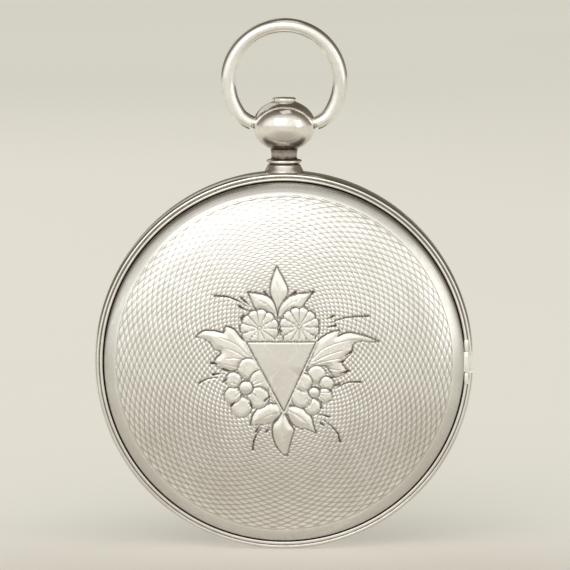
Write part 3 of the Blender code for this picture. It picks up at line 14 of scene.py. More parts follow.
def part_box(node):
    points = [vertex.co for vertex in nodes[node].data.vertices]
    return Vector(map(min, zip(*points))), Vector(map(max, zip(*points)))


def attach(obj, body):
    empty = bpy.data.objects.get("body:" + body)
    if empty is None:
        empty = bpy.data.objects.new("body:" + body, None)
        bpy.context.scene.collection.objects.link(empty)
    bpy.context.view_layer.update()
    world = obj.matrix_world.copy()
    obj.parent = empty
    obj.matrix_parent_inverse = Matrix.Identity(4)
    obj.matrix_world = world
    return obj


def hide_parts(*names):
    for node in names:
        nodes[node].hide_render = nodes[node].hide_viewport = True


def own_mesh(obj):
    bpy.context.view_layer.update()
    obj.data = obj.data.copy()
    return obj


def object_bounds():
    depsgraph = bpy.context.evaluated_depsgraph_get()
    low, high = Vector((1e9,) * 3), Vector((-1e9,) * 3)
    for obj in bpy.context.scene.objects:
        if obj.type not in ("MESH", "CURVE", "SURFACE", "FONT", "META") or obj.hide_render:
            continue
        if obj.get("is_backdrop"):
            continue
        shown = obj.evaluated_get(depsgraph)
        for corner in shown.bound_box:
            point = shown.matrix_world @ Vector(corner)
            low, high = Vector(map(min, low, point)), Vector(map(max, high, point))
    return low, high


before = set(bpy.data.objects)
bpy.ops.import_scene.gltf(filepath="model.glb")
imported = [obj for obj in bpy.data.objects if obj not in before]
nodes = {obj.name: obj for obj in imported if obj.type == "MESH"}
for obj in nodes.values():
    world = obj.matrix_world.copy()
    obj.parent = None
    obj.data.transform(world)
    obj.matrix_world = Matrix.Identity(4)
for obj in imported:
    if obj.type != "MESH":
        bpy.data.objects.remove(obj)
cad_low, cad_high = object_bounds()

# ---- Case band
# The middle of the case: one turned ring of silver with fine beads either side of the joint with
# the back cover. Its hinge knuckles are soldered on, and its seats are bored for covers and movement.

MM = 0.001
CASE_MID_Y = 6.15


def wire(tree, kind, feeds=None, **settings):
    """Add one shader node, set what it is told and feed its sockets from values or other nodes."""
    made = tree.nodes.new(kind)
    for key, value in settings.items():
        setattr(made, key, value)
    for socket, source in (feeds or {}).items():
        target = made.inputs[socket]
        if isinstance(source, bpy.types.NodeSocket):
            tree.links.new(source, target)
        else:
            target.default_value = source
    return made


def ramp(tree, source, stops):
    """A run of colours or greys along a value."""
    made = wire(tree, "ShaderNodeValToRGB", {"Fac": source})
    while len(made.color_ramp.elements) < len(stops):
        made.color_ramp.elements.new(0.5)
    for element, (place, tone) in zip(made.color_ramp.elements, stops):
        element.position = place
        element.color = (*tone, 1.0) if isinstance(tone, tuple) else (tone, tone, tone, 1.0)
    return made.outputs["Color"]


def reckon(tree, operation, *feeds, **settings):
    """One sum on shader values."""
    return wire(tree, "ShaderNodeMath", dict(enumerate(feeds)), operation=operation, **settings).outputs[0]


def tinted(tree, share, plain, other):
    """One colour laid over another by a share."""
    return wire(tree, "ShaderNodeMix", {0: share, 6: plain, 7: other}, data_type="RGBA").outputs[2]


def in_millimetres(tree):
    """Places on the piece, in millimetres."""
    place = wire(tree, "ShaderNodeTexCoord").outputs["Object"]
    return wire(tree, "ShaderNodeMapping", {"Vector": place, "Scale": (1000.0,) * 3}).outputs["Vector"]


def metal(name, bright, dull, soil, rough, grain, scratch, lay=(1.0, 1.0, 1.0)):
    """A worked metal: two tones, tarnish where soil gathers, polish that varies and a fine tool grain."""
    made = bpy.data.materials.new(name)
    made.use_nodes = True
    tree = made.node_tree
    shader = tree.nodes["Principled BSDF"]
    in_mm = in_millimetres(tree)
    along = wire(tree, "ShaderNodeMapping", {"Vector": in_mm, "Scale": lay}).outputs["Vector"]
    cloud = wire(tree, "ShaderNodeTexNoise", {"Vector": in_mm, "Scale": 0.22, "Detail": 4.0}).outputs["Fac"]
    smear = wire(tree, "ShaderNodeTexNoise", {"Vector": in_mm, "Scale": 1.7, "Detail": 5.0,
                                              "Roughness": 0.65}).outputs["Fac"]
    fine = wire(tree, "ShaderNodeTexNoise", {"Vector": along, "Scale": 9.0, "Detail": 3.0}).outputs["Fac"]
    marks = wire(tree, "ShaderNodeTexVoronoi", {"Vector": along, "Scale": 0.9, "Randomness": 1.0},
                 feature="DISTANCE_TO_EDGE").outputs["Distance"]
    edge = wire(tree, "ShaderNodeNewGeometry").outputs["Pointiness"]
    worn = ramp(tree, edge, ((0.50, 0.0), (0.56, 1.0)))
    hollow = ramp(tree, edge, ((0.40, 1.0), (0.49, 0.0)))
    gathered = wire(tree, "ShaderNodeAttribute", attribute_name="soil").outputs["Fac"]
    film = ramp(tree, smear, ((0.45, 0.0), (0.75, 0.12)))
    caught = reckon(tree, "MAXIMUM", gathered, hollow)
    uneven = reckon(tree, "MULTIPLY", caught, ramp(tree, smear, ((0.25, 0.78), (0.60, 1.0))))
    dirt = reckon(tree, "MAXIMUM", uneven, film, use_clamp=True)
    tone = tinted(tree, ramp(tree, cloud, ((0.35, 0.0), (0.65, 1.0))), (*bright, 1.0), (*dull, 1.0))
    rubbed = tinted(tree, worn, tone, (*[min(1.0, c * 1.08) for c in bright], 1.0))
    stained = tinted(tree, dirt, rubbed, (*soil, 1.0))
    polish = wire(tree, "ShaderNodeMapRange", {"Value": smear, "From Min": 0.3, "From Max": 0.7,
                                               "To Min": rough * 0.8, "To Max": rough * 1.3}).outputs[0]
    matt = reckon(tree, "MULTIPLY_ADD", dirt, 0.22, polish)
    line = ramp(tree, marks, ((0.0, 0.0), (0.012, 1.0)))
    relief = reckon(tree, "MULTIPLY_ADD", line, scratch, fine)
    bump = wire(tree, "ShaderNodeBump", {"Strength": grain, "Distance": 0.01 * MM,
                                         "Height": relief}).outputs[0]
    for socket, source in (("Base Color", stained), ("Roughness", matt), ("Normal", bump)):
        tree.links.new(source, shader.inputs[socket])
    shader.inputs["Metallic"].default_value = 1.0
    return made


def piece(name, points, faces, material, soil=None, crease=40.0):
    """A mesh from points in millimetres, shaded smooth but for its sharp edges."""
    mesh = bpy.data.meshes.new(name)
    mesh.from_pydata([(x * MM, y * MM, z * MM) for x, y, z in points], [], faces)
    mesh.materials.append(material)
    if soil is not None:
        mesh.attributes.new("soil", "FLOAT", "POINT").data.foreach_set("value", np.asarray(soil, np.float32))
    mesh.shade_smooth()
    mesh.set_sharp_from_angle(angle=math.radians(crease))
    made = bpy.data.objects.new(name, mesh)
    bpy.context.scene.collection.objects.link(made)
    return made


def softened(profile, radius, steps=3):
    """Round every corner of a closed profile of (radius, height, soil) rows."""
    rows = [np.array(row if len(row) == 3 else (*row, 0.0), float) for row in profile]
    result = []
    for k, corner in enumerate(rows):
        before = rows[k - 1] - corner
        after = rows[(k + 1) % len(rows)] - corner
        reach = [min(radius, 0.42 * max(np.hypot(*v[:2]), 1e-9)) / max(np.hypot(*v[:2]), 1e-9)
                 for v in (before, after)]
        if corner[0] < 1e-6:
            result.append(corner)
            continue
        a = corner + before * reach[0]
        b = corner + after * reach[1]
        for j in range(steps + 1):
            t = j / steps
            result.append(a * (1 - t) ** 2 + corner * 2 * t * (1 - t) + b * t * t)
    return result


def faced_out(made, join=None):
    """Turn all faces outward, first joining points closer than a distance if one is given."""
    shell = bmesh.new()
    shell.from_mesh(made.data)
    if join:
        bmesh.ops.remove_doubles(shell, verts=shell.verts, dist=join)
    bmesh.ops.recalc_face_normals(shell, faces=shell.faces)
    shell.to_mesh(made.data)
    shell.free()
    return made


def turn(name, profile, material, segments=144, axis="Y", centre=(0.0, 0.0), round_by=0.06, crease=40.0):
    """Turn a closed profile of (radius, height) rows about the hand axis, or about the pendant's."""
    rows = softened(profile, round_by) if round_by else [np.array((*r, 0.0)[:3], float) for r in profile]
    points = []
    soil = []
    for radius, height, dirt in rows:
        for k in range(segments):
            a = math.tau * k / segments
            u = max(radius, 1e-4) * math.cos(a)
            v = max(radius, 1e-4) * math.sin(a)
            points.append((centre[0] + u, height, centre[1] + v) if axis == "Y"
                          else (centre[0] + u, centre[1] + v, height))
            soil.append(dirt)
    faces = []
    for i in range(len(rows)):
        p = i * segments
        q = (i + 1) % len(rows) * segments
        for k in range(segments):
            n = (k + 1) % segments
            faces.append((p + k, p + n, q + n, q + k))
    return faced_out(piece(name, points, faces, material, soil, crease), 0.002 * MM)


def block(name, low, high, material):
    """A small block with its edges broken."""
    shell = bmesh.new()
    bmesh.ops.create_cube(shell, size=1.0)
    size = (Vector(high) - Vector(low)) * MM
    middle = (Vector(high) + Vector(low)) / 2 * MM
    bmesh.ops.transform(shell, matrix=Matrix.Translation(middle) @ Matrix.Diagonal((*size, 1.0)),
                        verts=shell.verts)
    bmesh.ops.bevel(shell, geom=shell.edges[:], offset=0.04 * MM, segments=2, affect="EDGES")
    mesh = bpy.data.meshes.new(name)
    shell.to_mesh(mesh)
    shell.free()
    mesh.materials.append(material)
    made = bpy.data.objects.new(name, mesh)
    bpy.context.scene.collection.objects.link(made)
    return made


def resmoothed(made, sharp):
    """Smooth a worked piece again, but for edges sharper than an angle in degrees."""
    made.data.shade_smooth()
    made.data.set_sharp_from_angle(angle=math.radians(sharp))


def swung(made, angle):
    """Turn a piece about the hand axis, from +X towards +Z."""
    made.data.transform(Matrix.Rotation(-angle, 4, "Y"))
    return made


def work(target, tool, operation="DIFFERENCE"):
    """Cut one body from another, or run them together, and clear the tool away."""
    step = target.modifiers.new("work", "BOOLEAN")
    step.operation = operation
    step.solver = "EXACT"
    step.object = tool
    ready = bpy.data.meshes.new_from_object(target.evaluated_get(bpy.context.evaluated_depsgraph_get()))
    target.modifiers.clear()
    target.data = ready
    bpy.data.objects.remove(tool)
    return target


def merged(target, *others):
    """Put loose bodies that are soldered to a piece into its mesh."""
    for other in others:
        shell = bmesh.new()
        shell.from_mesh(target.data)
        shell.from_mesh(other.data)
        shell.to_mesh(target.data)
        shell.free()
        bpy.data.objects.remove(other)
    return target


def knuckle(name, x, y, start, end, radius, material, bore=0.17):
    """One length of hinge tube along Z."""
    return turn(name, [(bore, start), (radius, start), (radius, end), (bore, end)], material, 28, "Z", (x, y),
                0.05)


silver = metal("silver_case", (0.90, 0.885, 0.855), (0.80, 0.775, 0.735), (0.10, 0.065, 0.035), 0.15, 0.10,
               0.5)
HINGE = {"x": 21.10, "y": 3.45, "radius": 0.33, "half": 2.6, "middle": 1.2, "pocket": 0.43}
BEZEL_HINGE = {"x": 21.42, "y": 9.0, "radius": 0.42, "angle": math.radians(164), "pocket": 0.52}

band = turn("band", [
    (20.98, 3.60, 0.9), (20.98, 3.34, 1.0), (21.10, 3.22, 0.3), (21.26, 3.20), (21.38, 3.30),
    (21.43, 3.46, 0.9), (21.50, 3.46, 0.9), (21.60, 3.40), (21.74, 3.44), (21.82, 3.58, 0.6),
    (21.92, 3.70), (22.0, 3.95),
    (21.97, 4.12), (21.86, 4.25, 0.7), (21.93, 4.42, 0.2), (22.0, 4.9), (22.0, 7.7), (21.93, 8.12, 0.2),
    (21.84, 8.40, 0.7), (21.93, 8.58, 0.1), (21.86, 8.80), (21.6, 9.0, 0.6), (20.6, 9.0), (20.6, 9.5),
    (20.15, 9.5), (20.15, 9.0), (18.75, 9.0), (18.75, 7.25), (18.05, 7.25), (18.05, 6.35), (20.2, 6.35),
    (20.2, 4.5), (18.95, 4.5), (18.95, 3.95), (20.0, 3.95), (20.0, 3.60),
], silver, 216, round_by=0.05)
work(band, block("cut", (19.8, 2.45, -1.25), (22.6, 3.98, 1.25), silver))
work(band, block("cut", (19.48, 2.95, -0.85), (20.58, 4.35, 0.85), silver))
work(band, swung(block("cut", (20.90, 8.48, -1.25), (22.6, 10.0, 1.25), silver), BEZEL_HINGE["angle"]))
work(band, turn("cut", [(0, 21.30), (2.35, 21.30), (2.35, 23.0), (0, 23.0)], silver, 48, "Z",
                (0, CASE_MID_Y), 0))
work(band, turn("cut", [(0, 19.5), (0.58, 19.5), (0.58, 22.6), (0, 22.6)], silver, 32, "Z",
                (0, CASE_MID_Y), 0))
work(band, block("cut", (-0.95, 3.1, 18.45), (0.95, 4.8, 20.2), silver))
merged(band, *[knuckle("tube", HINGE["x"], HINGE["y"], side * 1.27 if side > 0 else -2.6,
                       2.6 if side > 0 else -1.27, HINGE["radius"], silver) for side in (1, -1)])
merged(band, *[swung(knuckle("tube", BEZEL_HINGE["x"], BEZEL_HINGE["y"], side * 1.27 if side > 0 else -2.6,
                             2.6 if side > 0 else -1.27, BEZEL_HINGE["radius"], silver), BEZEL_HINGE["angle"])
               for side in (1, -1)])
resmoothed(band, 35)
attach(band, "case")
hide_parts("case_band")

# ---- Back cover
# A sprung sheet-silver cover, domed and snapped into the band. It is engine-turned all over in waved
# rings, then engraved by hand round a plain shield, and tarnish has stayed in the cuts.

WAVES = 72
RING_PITCH = 0.3125
WAVE_SWING = 0.146
CUT_DEPTH = 0.042
COLUMNS = WAVES * 8
SHIELD_DULL = 0.16
OUTLINE_CUT = 0.060
RAY_CUT = 0.07
VEIN_CUT = 0.05
SPRIG_CUT = 0.10
SHIELD_CUT = 0.10
TOP_LEAVES = (
    ((-0.85, 11.41), (-0.85, 11.41), (-1.36, 10.03), (-1.6, 8.93), (-1.47, 7.99), (-1.1, 7.13),
     (-0.69, 5.64), (-0.27, 7.05), (0.27, 7.99), (0.43, 8.7), (0.04, 9.72), (-0.43, 10.58)),
    ((-4.2, 8.43), (-4.2, 8.43), (-3.7, 7.37), (-3.31, 6.58), (-2.53, 6.39), (-1.6, 6.08),
     (-0.79, 5.45), (-0.97, 6.58), (-1.29, 7.37), (-1.83, 7.91), (-2.85, 8.24)),
    ((3.39, 8.49), (3.39, 8.49), (2.14, 8.28), (1.21, 8.12), (0.43, 7.76), (-0.19, 7.13),
     (-0.58, 6.43), (-0.66, 5.48), (0.27, 6.08), (1.21, 6.27), (2.14, 6.5), (2.3, 7.05)),
)
ACANTHUS = (
    ((-10.17, 3.26), (-10.17, 3.26), (-9.39, 3.89), (-8.15, 3.95), (-6.98, 3.68), (-6.98, 3.68),
     (-6.71, 4.47), (-6.71, 4.47), (-5.81, 4.15), (-5.11, 3.29), (-4.33, 2.35), (-3.63, 0.78),
     (-4.09, 0.55), (-4.87, 0.23), (-5.34, -0.47), (-6.12, -0.71), (-6.98, -0.55), (-7.76, -0.03),
     (-7.99, 0.59), (-7.21, 1.49), (-7.99, 1.85), (-8.61, 2.63), (-9.39, 3.1)),
    ((10.95, 2.66), (10.95, 2.66), (9.78, 3.2), (8.38, 3.6), (7.29, 3.73), (6.2, 3.29), (6.2, 3.29),
     (6.43, 3.99), (6.43, 3.99), (5.42, 3.79), (4.48, 3.26), (3.94, 2.79), (3.39, 1.41), (2.85, 0.15),
     (2.61, -0.63), (3.39, -0.19), (4.48, -0.08), (5.11, -0.19), (5.26, -0.66), (5.89, -1.41),
     (6.67, -1.13), (7.29, -0.79), (6.9, -0.16), (6.74, 0.31), (7.13, 0.78), (7.84, 1.56),
     (7.91, 2.35), (8.85, 2.79), (9.78, 2.69)),
)
BOTTOM_LEAVES = (
    ((-3.86, -7.01), (-3.86, -7.01), (-3.63, -5.88), (-3.0, -5.1), (-1.91, -4.58), (-0.82, -4.58),
     (-0.27, -5.49), (-0.97, -6.27), (-1.6, -6.75), (-2.69, -6.9)),
    ((3.7, -7.92), (3.7, -7.92), (2.61, -7.45), (1.68, -7.29), (0.9, -6.75), (0.43, -5.8),
     (0.15, -5.41), (0.43, -4.86), (1.52, -4.86), (2.46, -5.33), (3.16, -6.12), (3.39, -7.06)),
    ((0.35, -10.59), (0.35, -10.59), (-0.35, -10.16), (-0.97, -9.25), (-1.29, -8.16), (-1.29, -7.06),
     (-0.66, -6.27), (-0.07, -5.52), (0.59, -6.75), (1.13, -7.53), (0.97, -8.16), (0.62, -9.41)),
)
SPRIGS = (
    ((-8.07, 7.99), (-6.74, 7.91), (-5.5, 7.52), (-4.33, 6.77)),
    ((9.78, 5.64), (8.23, 5.59), (6.67, 5.37), (5.34, 4.86)),
    ((-9.78, -2.12), (-9.08, -1.73), (-8.3, -1.54), (-7.52, -1.52)),
    ((8.85, -2.01), (7.6, -2.01), (6.67, -2.28), (5.81, -2.9)),
    ((-3.63, -9.88), (-3.47, -8.78), (-3.0, -7.84), (-2.46, -7.22)),
    ((6.46, -8.94), (6.2, -8.0), (5.57, -7.22), (4.56, -6.43)),
    ((5.19, -6.04), (4.64, -5.87), (4.02, -5.74)),
)
BUDS = (
    ((-4.95, 7.76), (-4.01, 6.93)),
    ((-5.18, 6.79), (-4.22, 6.27)),
    ((5.73, 5.67), (4.92, 5.3)),
    ((5.96, 4.57), (5.03, 4.36)),
    ((-8.22, -1.13), (-7.21, -1.01)),
    ((-3.28, -7.76), (-2.88, -7.18)),
    ((-2.1, -7.81), (-1.63, -7.28)),
    ((4.28, -6.82), (4.76, -7.17)),
    ((6.39, -2.17), (5.5, -2.7)),
    ((-6.98, -1.96), (-6.43, -1.49)),
    ((-2.3, 8.46), (-1.5, 7.68)),
    ((1.33, 8.46), (0.46, 7.84)),
    ((7.88, 1.64), (6.95, 1.0)),
    ((7.48, -0.71), (6.39, -1.04)),
    ((6.82, 0.39), (6.2, 0.28)),
    ((-8.46, 0.22), (-7.45, 0.03)),
    ((-7.02, -0.51), (-6.18, -0.69)),
    ((3.39, 8.49), (2.27, 6.9)),
    ((-6.12, -4.79), (-5.65, -4.24)),
    ((-3.63, -5.02), (-4.09, -4.39)),
    ((4.25, -5.02), (4.33, -4.24)),
    ((5.42, -1.49), (5.81, -1.41)),
    ((5.42, -2.98), (5.03, -3.3)),
    ((-4.95, 5.33), (-4.64, 5.8)),
    ((-0.35, 3.92), (-0.74, 4.23)),
    ((-2.22, -4.16), (-1.6, -3.61)),
)
VEINS = (
    ((-0.69, 5.72), (-0.76, 7.52), (-0.82, 10.03)),
    ((-0.97, 5.8), (-1.91, 6.9), (-3.47, 7.76)),
    ((-0.54, 5.95), (0.59, 7.05), (2.14, 7.76)),
    ((-4.17, 1.02), (-5.5, 2.35), (-7.37, 3.13)),
    ((-4.4, 0.78), (-5.65, 1.53), (-6.82, 1.96)),
    ((-4.64, 0.55), (-5.65, 0.75), (-6.82, 0.7)),
    ((-5.18, -0.32), (-5.96, -0.16), (-6.98, 0.08)),
    ((3.24, 0.62), (4.48, 1.8), (6.35, 2.58), (8.38, 2.98)),
    ((3.39, 0.31), (4.95, 1.09), (6.67, 1.64)),
    ((3.08, -0.08), (4.64, 0.39), (6.35, 0.7)),
    ((5.42, -0.47), (6.04, -0.63), (6.59, -0.55)),
    ((-0.43, -5.57), (-1.75, -5.88), (-3.16, -6.51)),
    ((0.43, -5.33), (1.68, -5.96), (2.92, -7.06)),
    ((-0.04, -5.88), (-0.12, -7.69), (0.24, -9.88)),
)
SHIELD = (
    ((-4.33, 2.63), (3.63, 2.63), (-0.04, -5.41)),
)
RAY_FLOWERS = (((-2.85, 4.23), 2.22, 11), ((1.75, 4.39), 2.31, 12))
PETALS = ((-4.12, -0.44, 1.19), (-2.69, -1.96, 1.31), (-3.0, -3.84, 1.25), (-4.95, -4.9, 1.19),
          (-5.96, -3.55, 0.94), (-5.84, -1.76, 0.9), (3.78, -1.13, 1.03), (4.92, -2.17, 0.81),
          (4.67, -3.58, 0.84), (3.27, -4.9, 0.94), (2.02, -3.8, 1.19), (2.24, -2.01, 1.0))
EYES = (((-4.4, -2.67), 0.78), ((3.47, -3.22), 0.62))


def flowing(points, steps=5, closed=True):
    """A smooth line through points; a point given twice stays a sharp tip."""
    p = np.array(points, float)
    count = len(p)
    result = []
    for k in range(count if closed else count - 1):
        pick = [(k + j) % count if closed else min(max(k + j, 0), count - 1) for j in (-1, 0, 1, 2)]
        a, b, c, d = p[pick]
        if np.allclose(b, c):
            continue
        for t in np.arange(steps) / steps:
            result.append(0.5 * (2 * b + (c - a) * t + (2 * a - 5 * b + 4 * c - d) * t ** 2
                                 + (3 * b - a - 3 * c + d) * t ** 3))
    return result if closed else result + [p[-1]]


def depth_inside(loop, x, z):
    """How far points lie inside a closed outline, negative outside it."""
    nearest = np.full(x.shape, 1e9)
    odd = np.zeros(x.shape, bool)
    for (ax, az), (bx, bz) in zip(loop, loop[1:] + loop[:1]):
        ex, ez = bx - ax, bz - az
        t = np.clip(((x - ax) * ex + (z - az) * ez) / (ex * ex + ez * ez + 1e-12), 0, 1)
        nearest = np.minimum(nearest, np.hypot(x - ax - t * ex, z - az - t * ez))
        if az != bz:
            odd ^= ((az > z) != (bz > z)) & (x < ax + (z - az) / (bz - az) * ex)
    return np.where(odd, nearest, -nearest)


def cut_along(line, first, last, x, z):
    """A graver cut along a line, 1 on it and 0 past its edge; its width runs from first to last."""
    deep = np.zeros(x.shape)
    count = len(line) - 1
    for k, ((ax, az), (bx, bz)) in enumerate(zip(line, line[1:])):
        ex, ez = bx - ax, bz - az
        t = np.clip(((x - ax) * ex + (z - az) * ez) / (ex * ex + ez * ez + 1e-12), 0, 1)
        width = first + (last - first) * (k + t) / count
        deep = np.maximum(deep, 1 - np.hypot(x - ax - t * ex, z - az - t * ez) / width)
    return np.clip(deep, 0, 1)


def ease(value):
    """Smooth 0 to 1."""
    t = np.clip(value, 0, 1)
    return t * t * (3 - 2 * t)


def cover_fall(radius):
    """Height of the plain dome of the cover, from its flat middle to its rim."""
    dome = (1.67 * (np.clip(radius - 7.0, 0, 12.2) / 12.2) ** 1.9
            + 0.28 * (np.clip(radius - 16.6, 0, 2.6) / 2.6) ** 2)
    border = 1.95 + (radius - 19.2) * (2.55 - 1.95) / 1.1
    return np.where(radius < 19.2, dome, border)


def ring_grid():
    """Rows that follow the waved cuts: one in the bottom of each cut and two on the land between."""
    turns = np.arange(20, 189) / 3
    angle = np.arange(COLUMNS) * math.tau / COLUMNS
    swing = 1 - 2 * np.abs((turns / 2) % 1 * 2 - 1)
    swing = swing * ease((turns - 7) / 2) * (1 - 0.8 * ease((turns - 62.2) / 0.4))
    wave = np.sin(WAVES * angle)[None, :]
    radius = turns[:, None] * RING_PITCH + WAVE_SWING * swing[:, None] * wave
    in_cut = (np.abs((turns + 0.5) % 1 - 0.5) < 0.1)[:, None]
    side = np.where(turns % 2 < 1, -1.0, 1.0)[:, None]
    gap = 1 - side * 2 * WAVE_SWING / RING_PITCH * wave
    land = -CUT_DEPTH * (1 - np.clip(gap / 0.9, 0, 1))
    relief = np.where(in_cut, -CUT_DEPTH, land)
    soil = np.where(in_cut, 0.60, 0.48 * (1 - np.clip(gap / 0.8, 0, 1)))
    return radius, np.broadcast_to(angle, radius.shape), relief, soil


def hand_work(x, z, relief, soil):
    """Lay the engraver's shield, flowers and leaves over the turned ground."""
    def lay(inside, low, crown, reach, dirt=0.9, rim=0.13):
        nonlocal relief, soil
        cover = ease((inside + 0.05) / 0.10)
        form = low + (crown - low) * ease(inside / reach)
        relief = relief * (1 - cover) + form * cover
        soil = soil * (1 - cover)
        line = np.clip(1 - np.abs(inside + 0.03) / rim, 0, 1)
        relief = relief - OUTLINE_CUT * line
        soil = np.maximum(soil, dirt * np.clip(line * 2.2, 0, 1))

    for loop in ACANTHUS + TOP_LEAVES + BOTTOM_LEAVES:
        lay(depth_inside(flowing(loop), x, z), -0.075, 0.0, 0.7)
    for (cx, cz), size, count in RAY_FLOWERS:
        u, v = x - cx, z - cz
        away = np.hypot(u, v)
        share = (np.arctan2(v, u) / math.tau * count) % 1
        scallop = size * (1 - 0.10 * (2 * np.abs(share - 0.5)) ** 3)
        lay(scallop - away, -0.07, -0.005, 0.5)
        split = np.minimum(share, 1 - share) / count * math.tau * away
        groove = np.clip(1 - split / 0.11, 0, 1) * (away < scallop) * ease((away - 0.15) / 0.5)
        relief = relief - RAY_CUT * groove
        soil = np.maximum(soil, groove * (0.55 + 0.45 * ease((away / size - 0.45) / 0.3)))
        bead = np.clip(1 - np.abs(away - 0.24) / 0.09, 0, 1)
        relief = relief - 0.06 * bead
        soil = np.maximum(soil, 0.8 * bead)
    for cx, cz, size in PETALS:
        lay(size - np.hypot(x - cx, z - cz), -0.055, -0.01, 0.4, 0.75)
    for (cx, cz), size in EYES:
        u, v = x - cx, z - cz
        away = np.hypot(u, v)
        share = (np.arctan2(v, u) / math.tau * 18) % 1
        length = 1.05 + 0.35 * np.sin(5 * np.arctan2(v, u))
        fine = np.clip(1 - np.minimum(share, 1 - share) / 18 * math.tau * away / 0.075, 0, 1)
        fine = fine * ease((size + length - away) / 0.6) * (away > size)
        relief = relief - 0.05 * fine
        soil = np.maximum(soil, 0.35 * fine)
        lay(size - away, -0.08, 0.0, 0.55, 0.9, 0.13)
    for line in VEINS:
        cut = cut_along(flowing(line, closed=False), 0.11, 0.04, x, z)
        relief = relief - VEIN_CUT * cut
        soil = np.maximum(soil, 0.28 * cut)
    shield = depth_inside(list(SHIELD[0]), x, z)
    frame_line = ease((shield + 0.30) / 0.06)
    flat = -0.035
    relief = relief * (1 - frame_line) + flat * frame_line
    soil = soil * (1 - frame_line) + SHIELD_DULL * ease((shield - 0.1) / 0.1)
    rim = np.clip(1 - np.abs(shield + 0.02) / 0.13, 0, 1)
    relief = relief - SHIELD_CUT * rim
    soil = np.maximum(soil, 0.95 * ease(rim * 1.4))
    bright_edge = np.clip(1 - np.abs(shield + 0.20) / 0.10, 0, 1)
    relief = relief + 0.03 * bright_edge
    for line in SPRIGS:
        cut = cut_along(flowing(line, closed=False), 0.17, 0.05, x, z)
        relief = relief - SPRIG_CUT * cut
        soil = np.maximum(soil, ease(cut * 2.2))
    for line in BUDS:
        cut = cut_along(line, 0.21, 0.04, x, z)
        relief = relief - SPRIG_CUT * cut
        soil = np.maximum(soil, ease(cut * 2.2))
    return relief, soil


def engraved_plate():
    """The outside of the cover as a plate of its own, 0.2 mm thick, with every cut in it."""
    radius, angle, relief, soil = ring_grid()
    near = radius[:, 0] < 13.0
    x = radius * np.cos(angle)
    z = radius * np.sin(angle)
    relief[near], soil[near] = hand_work(x[near], z[near], relief[near], soil[near])
    height = cover_fall(radius) - relief
    ring = angle[0]
    for r in (19.56, 16.0, 11.0):
        x = np.vstack([x, r * np.cos(ring)])
        z = np.vstack([z, r * np.sin(ring)])
        height = np.vstack([height, np.full(COLUMNS, float(cover_fall(np.array(r))) + 0.2)])
        soil = np.vstack([soil, np.zeros(COLUMNS)])
    rows = x.shape[0]
    index = np.arange(rows * COLUMNS).reshape(rows, COLUMNS)
    right = np.roll(index, -1, axis=1)
    faces = np.stack([index[:-1], right[:-1], right[1:], index[1:]], -1).reshape(-1, 4).tolist()
    points = np.stack([x, height, z], -1).reshape(-1, 3).tolist()
    soil = soil.reshape(-1).tolist()
    for row, level, order in ((0, 0.035, 1), (rows - 1, 0.2, -1)):
        hub = len(points)
        points.append((0.0, level, 0.0))
        soil.append(SHIELD_DULL)
        faces += [(hub, int(right[row, k]), int(index[row, k]))[::order] for k in range(COLUMNS)]
    return points, faces, soil


cover_silver = metal("silver_cover", (0.95, 0.935, 0.905), (0.88, 0.855, 0.815), (0.06, 0.038, 0.02), 0.16,
                     0.10, 0.4)
plate_points, plate_faces, plate_soil = engraved_plate()
plate = piece("back_cover_engraved", plate_points, plate_faces, cover_silver, plate_soil, crease=75)
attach(plate, "back_cover")
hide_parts("back_cover")

dome = [(r, float(cover_fall(np.array(r)))) for r in (7.0, 9.0, 11.0, 13.0, 15.0, 17.0, 18.2)]
rim = turn("back_cover_rim", [
    (0.0, 0.21), *[(r, y + 0.21) for r, y in dome], (19.2, 2.16), (19.52, 2.34), (19.54, 2.125),
    (19.62, 2.160, 0.15), (19.85, 2.27, 0.26), (20.2, 2.48, 0.3), (20.5, 2.68, 0.35), (20.72, 2.86, 0.4),
    (20.86, 3.02, 0.6),
    (20.92, 3.2, 1.0), (20.92, 3.56, 1.0), (20.05, 3.56, 0.6), (20.05, 3.05, 0.4),
    (19.2, 2.45), *[(r, y + 0.5) for r, y in reversed(dome)], (0.0, 0.5),
], cover_silver, 216, round_by=0.04)
work(rim, turn("cut", [(0, -2.65), (HINGE["pocket"], -2.65), (HINGE["pocket"], 2.65), (0, 2.65)],
               cover_silver, 28, "Z", (HINGE["x"], HINGE["y"]), 0))
work(rim, block("cut", (19.68, 3.33, -1.2), (20.60, 3.62, 1.2), cover_silver))
merged(rim, knuckle("tube", HINGE["x"], HINGE["y"], -1.2, 1.2, HINGE["radius"], cover_silver),
       block("leaf", (20.45, 3.13, -1.17), (21.0, 3.52, 1.17), cover_silver))
resmoothed(rim, 35)
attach(rim, "back_cover")
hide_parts("back_cover")

# ---- Cuvette
# The inner dust cover, sprung from sheet silver and hinged inside the back. Two holes take the key:
# one over the barrel for winding, one over the middle for the hands, each with a turned line round it.

CUVETTE_HINGE = {"x": 20.18, "y": 3.95, "radius": 0.30, "middle": 0.8, "relief": 0.62, "relief_half": 3.6}
KNUCKLE_GROOVE = {"at": (19.69, 3.03), "radius": 0.38, "half": 1.3}
KEY_HOLES = (((0.0, 0.0), 1.1), ((2.33, 8.69), 1.4))


def cuvette_fall(radius):
    """Height of the outside of the cuvette."""
    return 1.70 + 1.40 * max(0.0, (radius - 9.0) / 10.0) ** 3


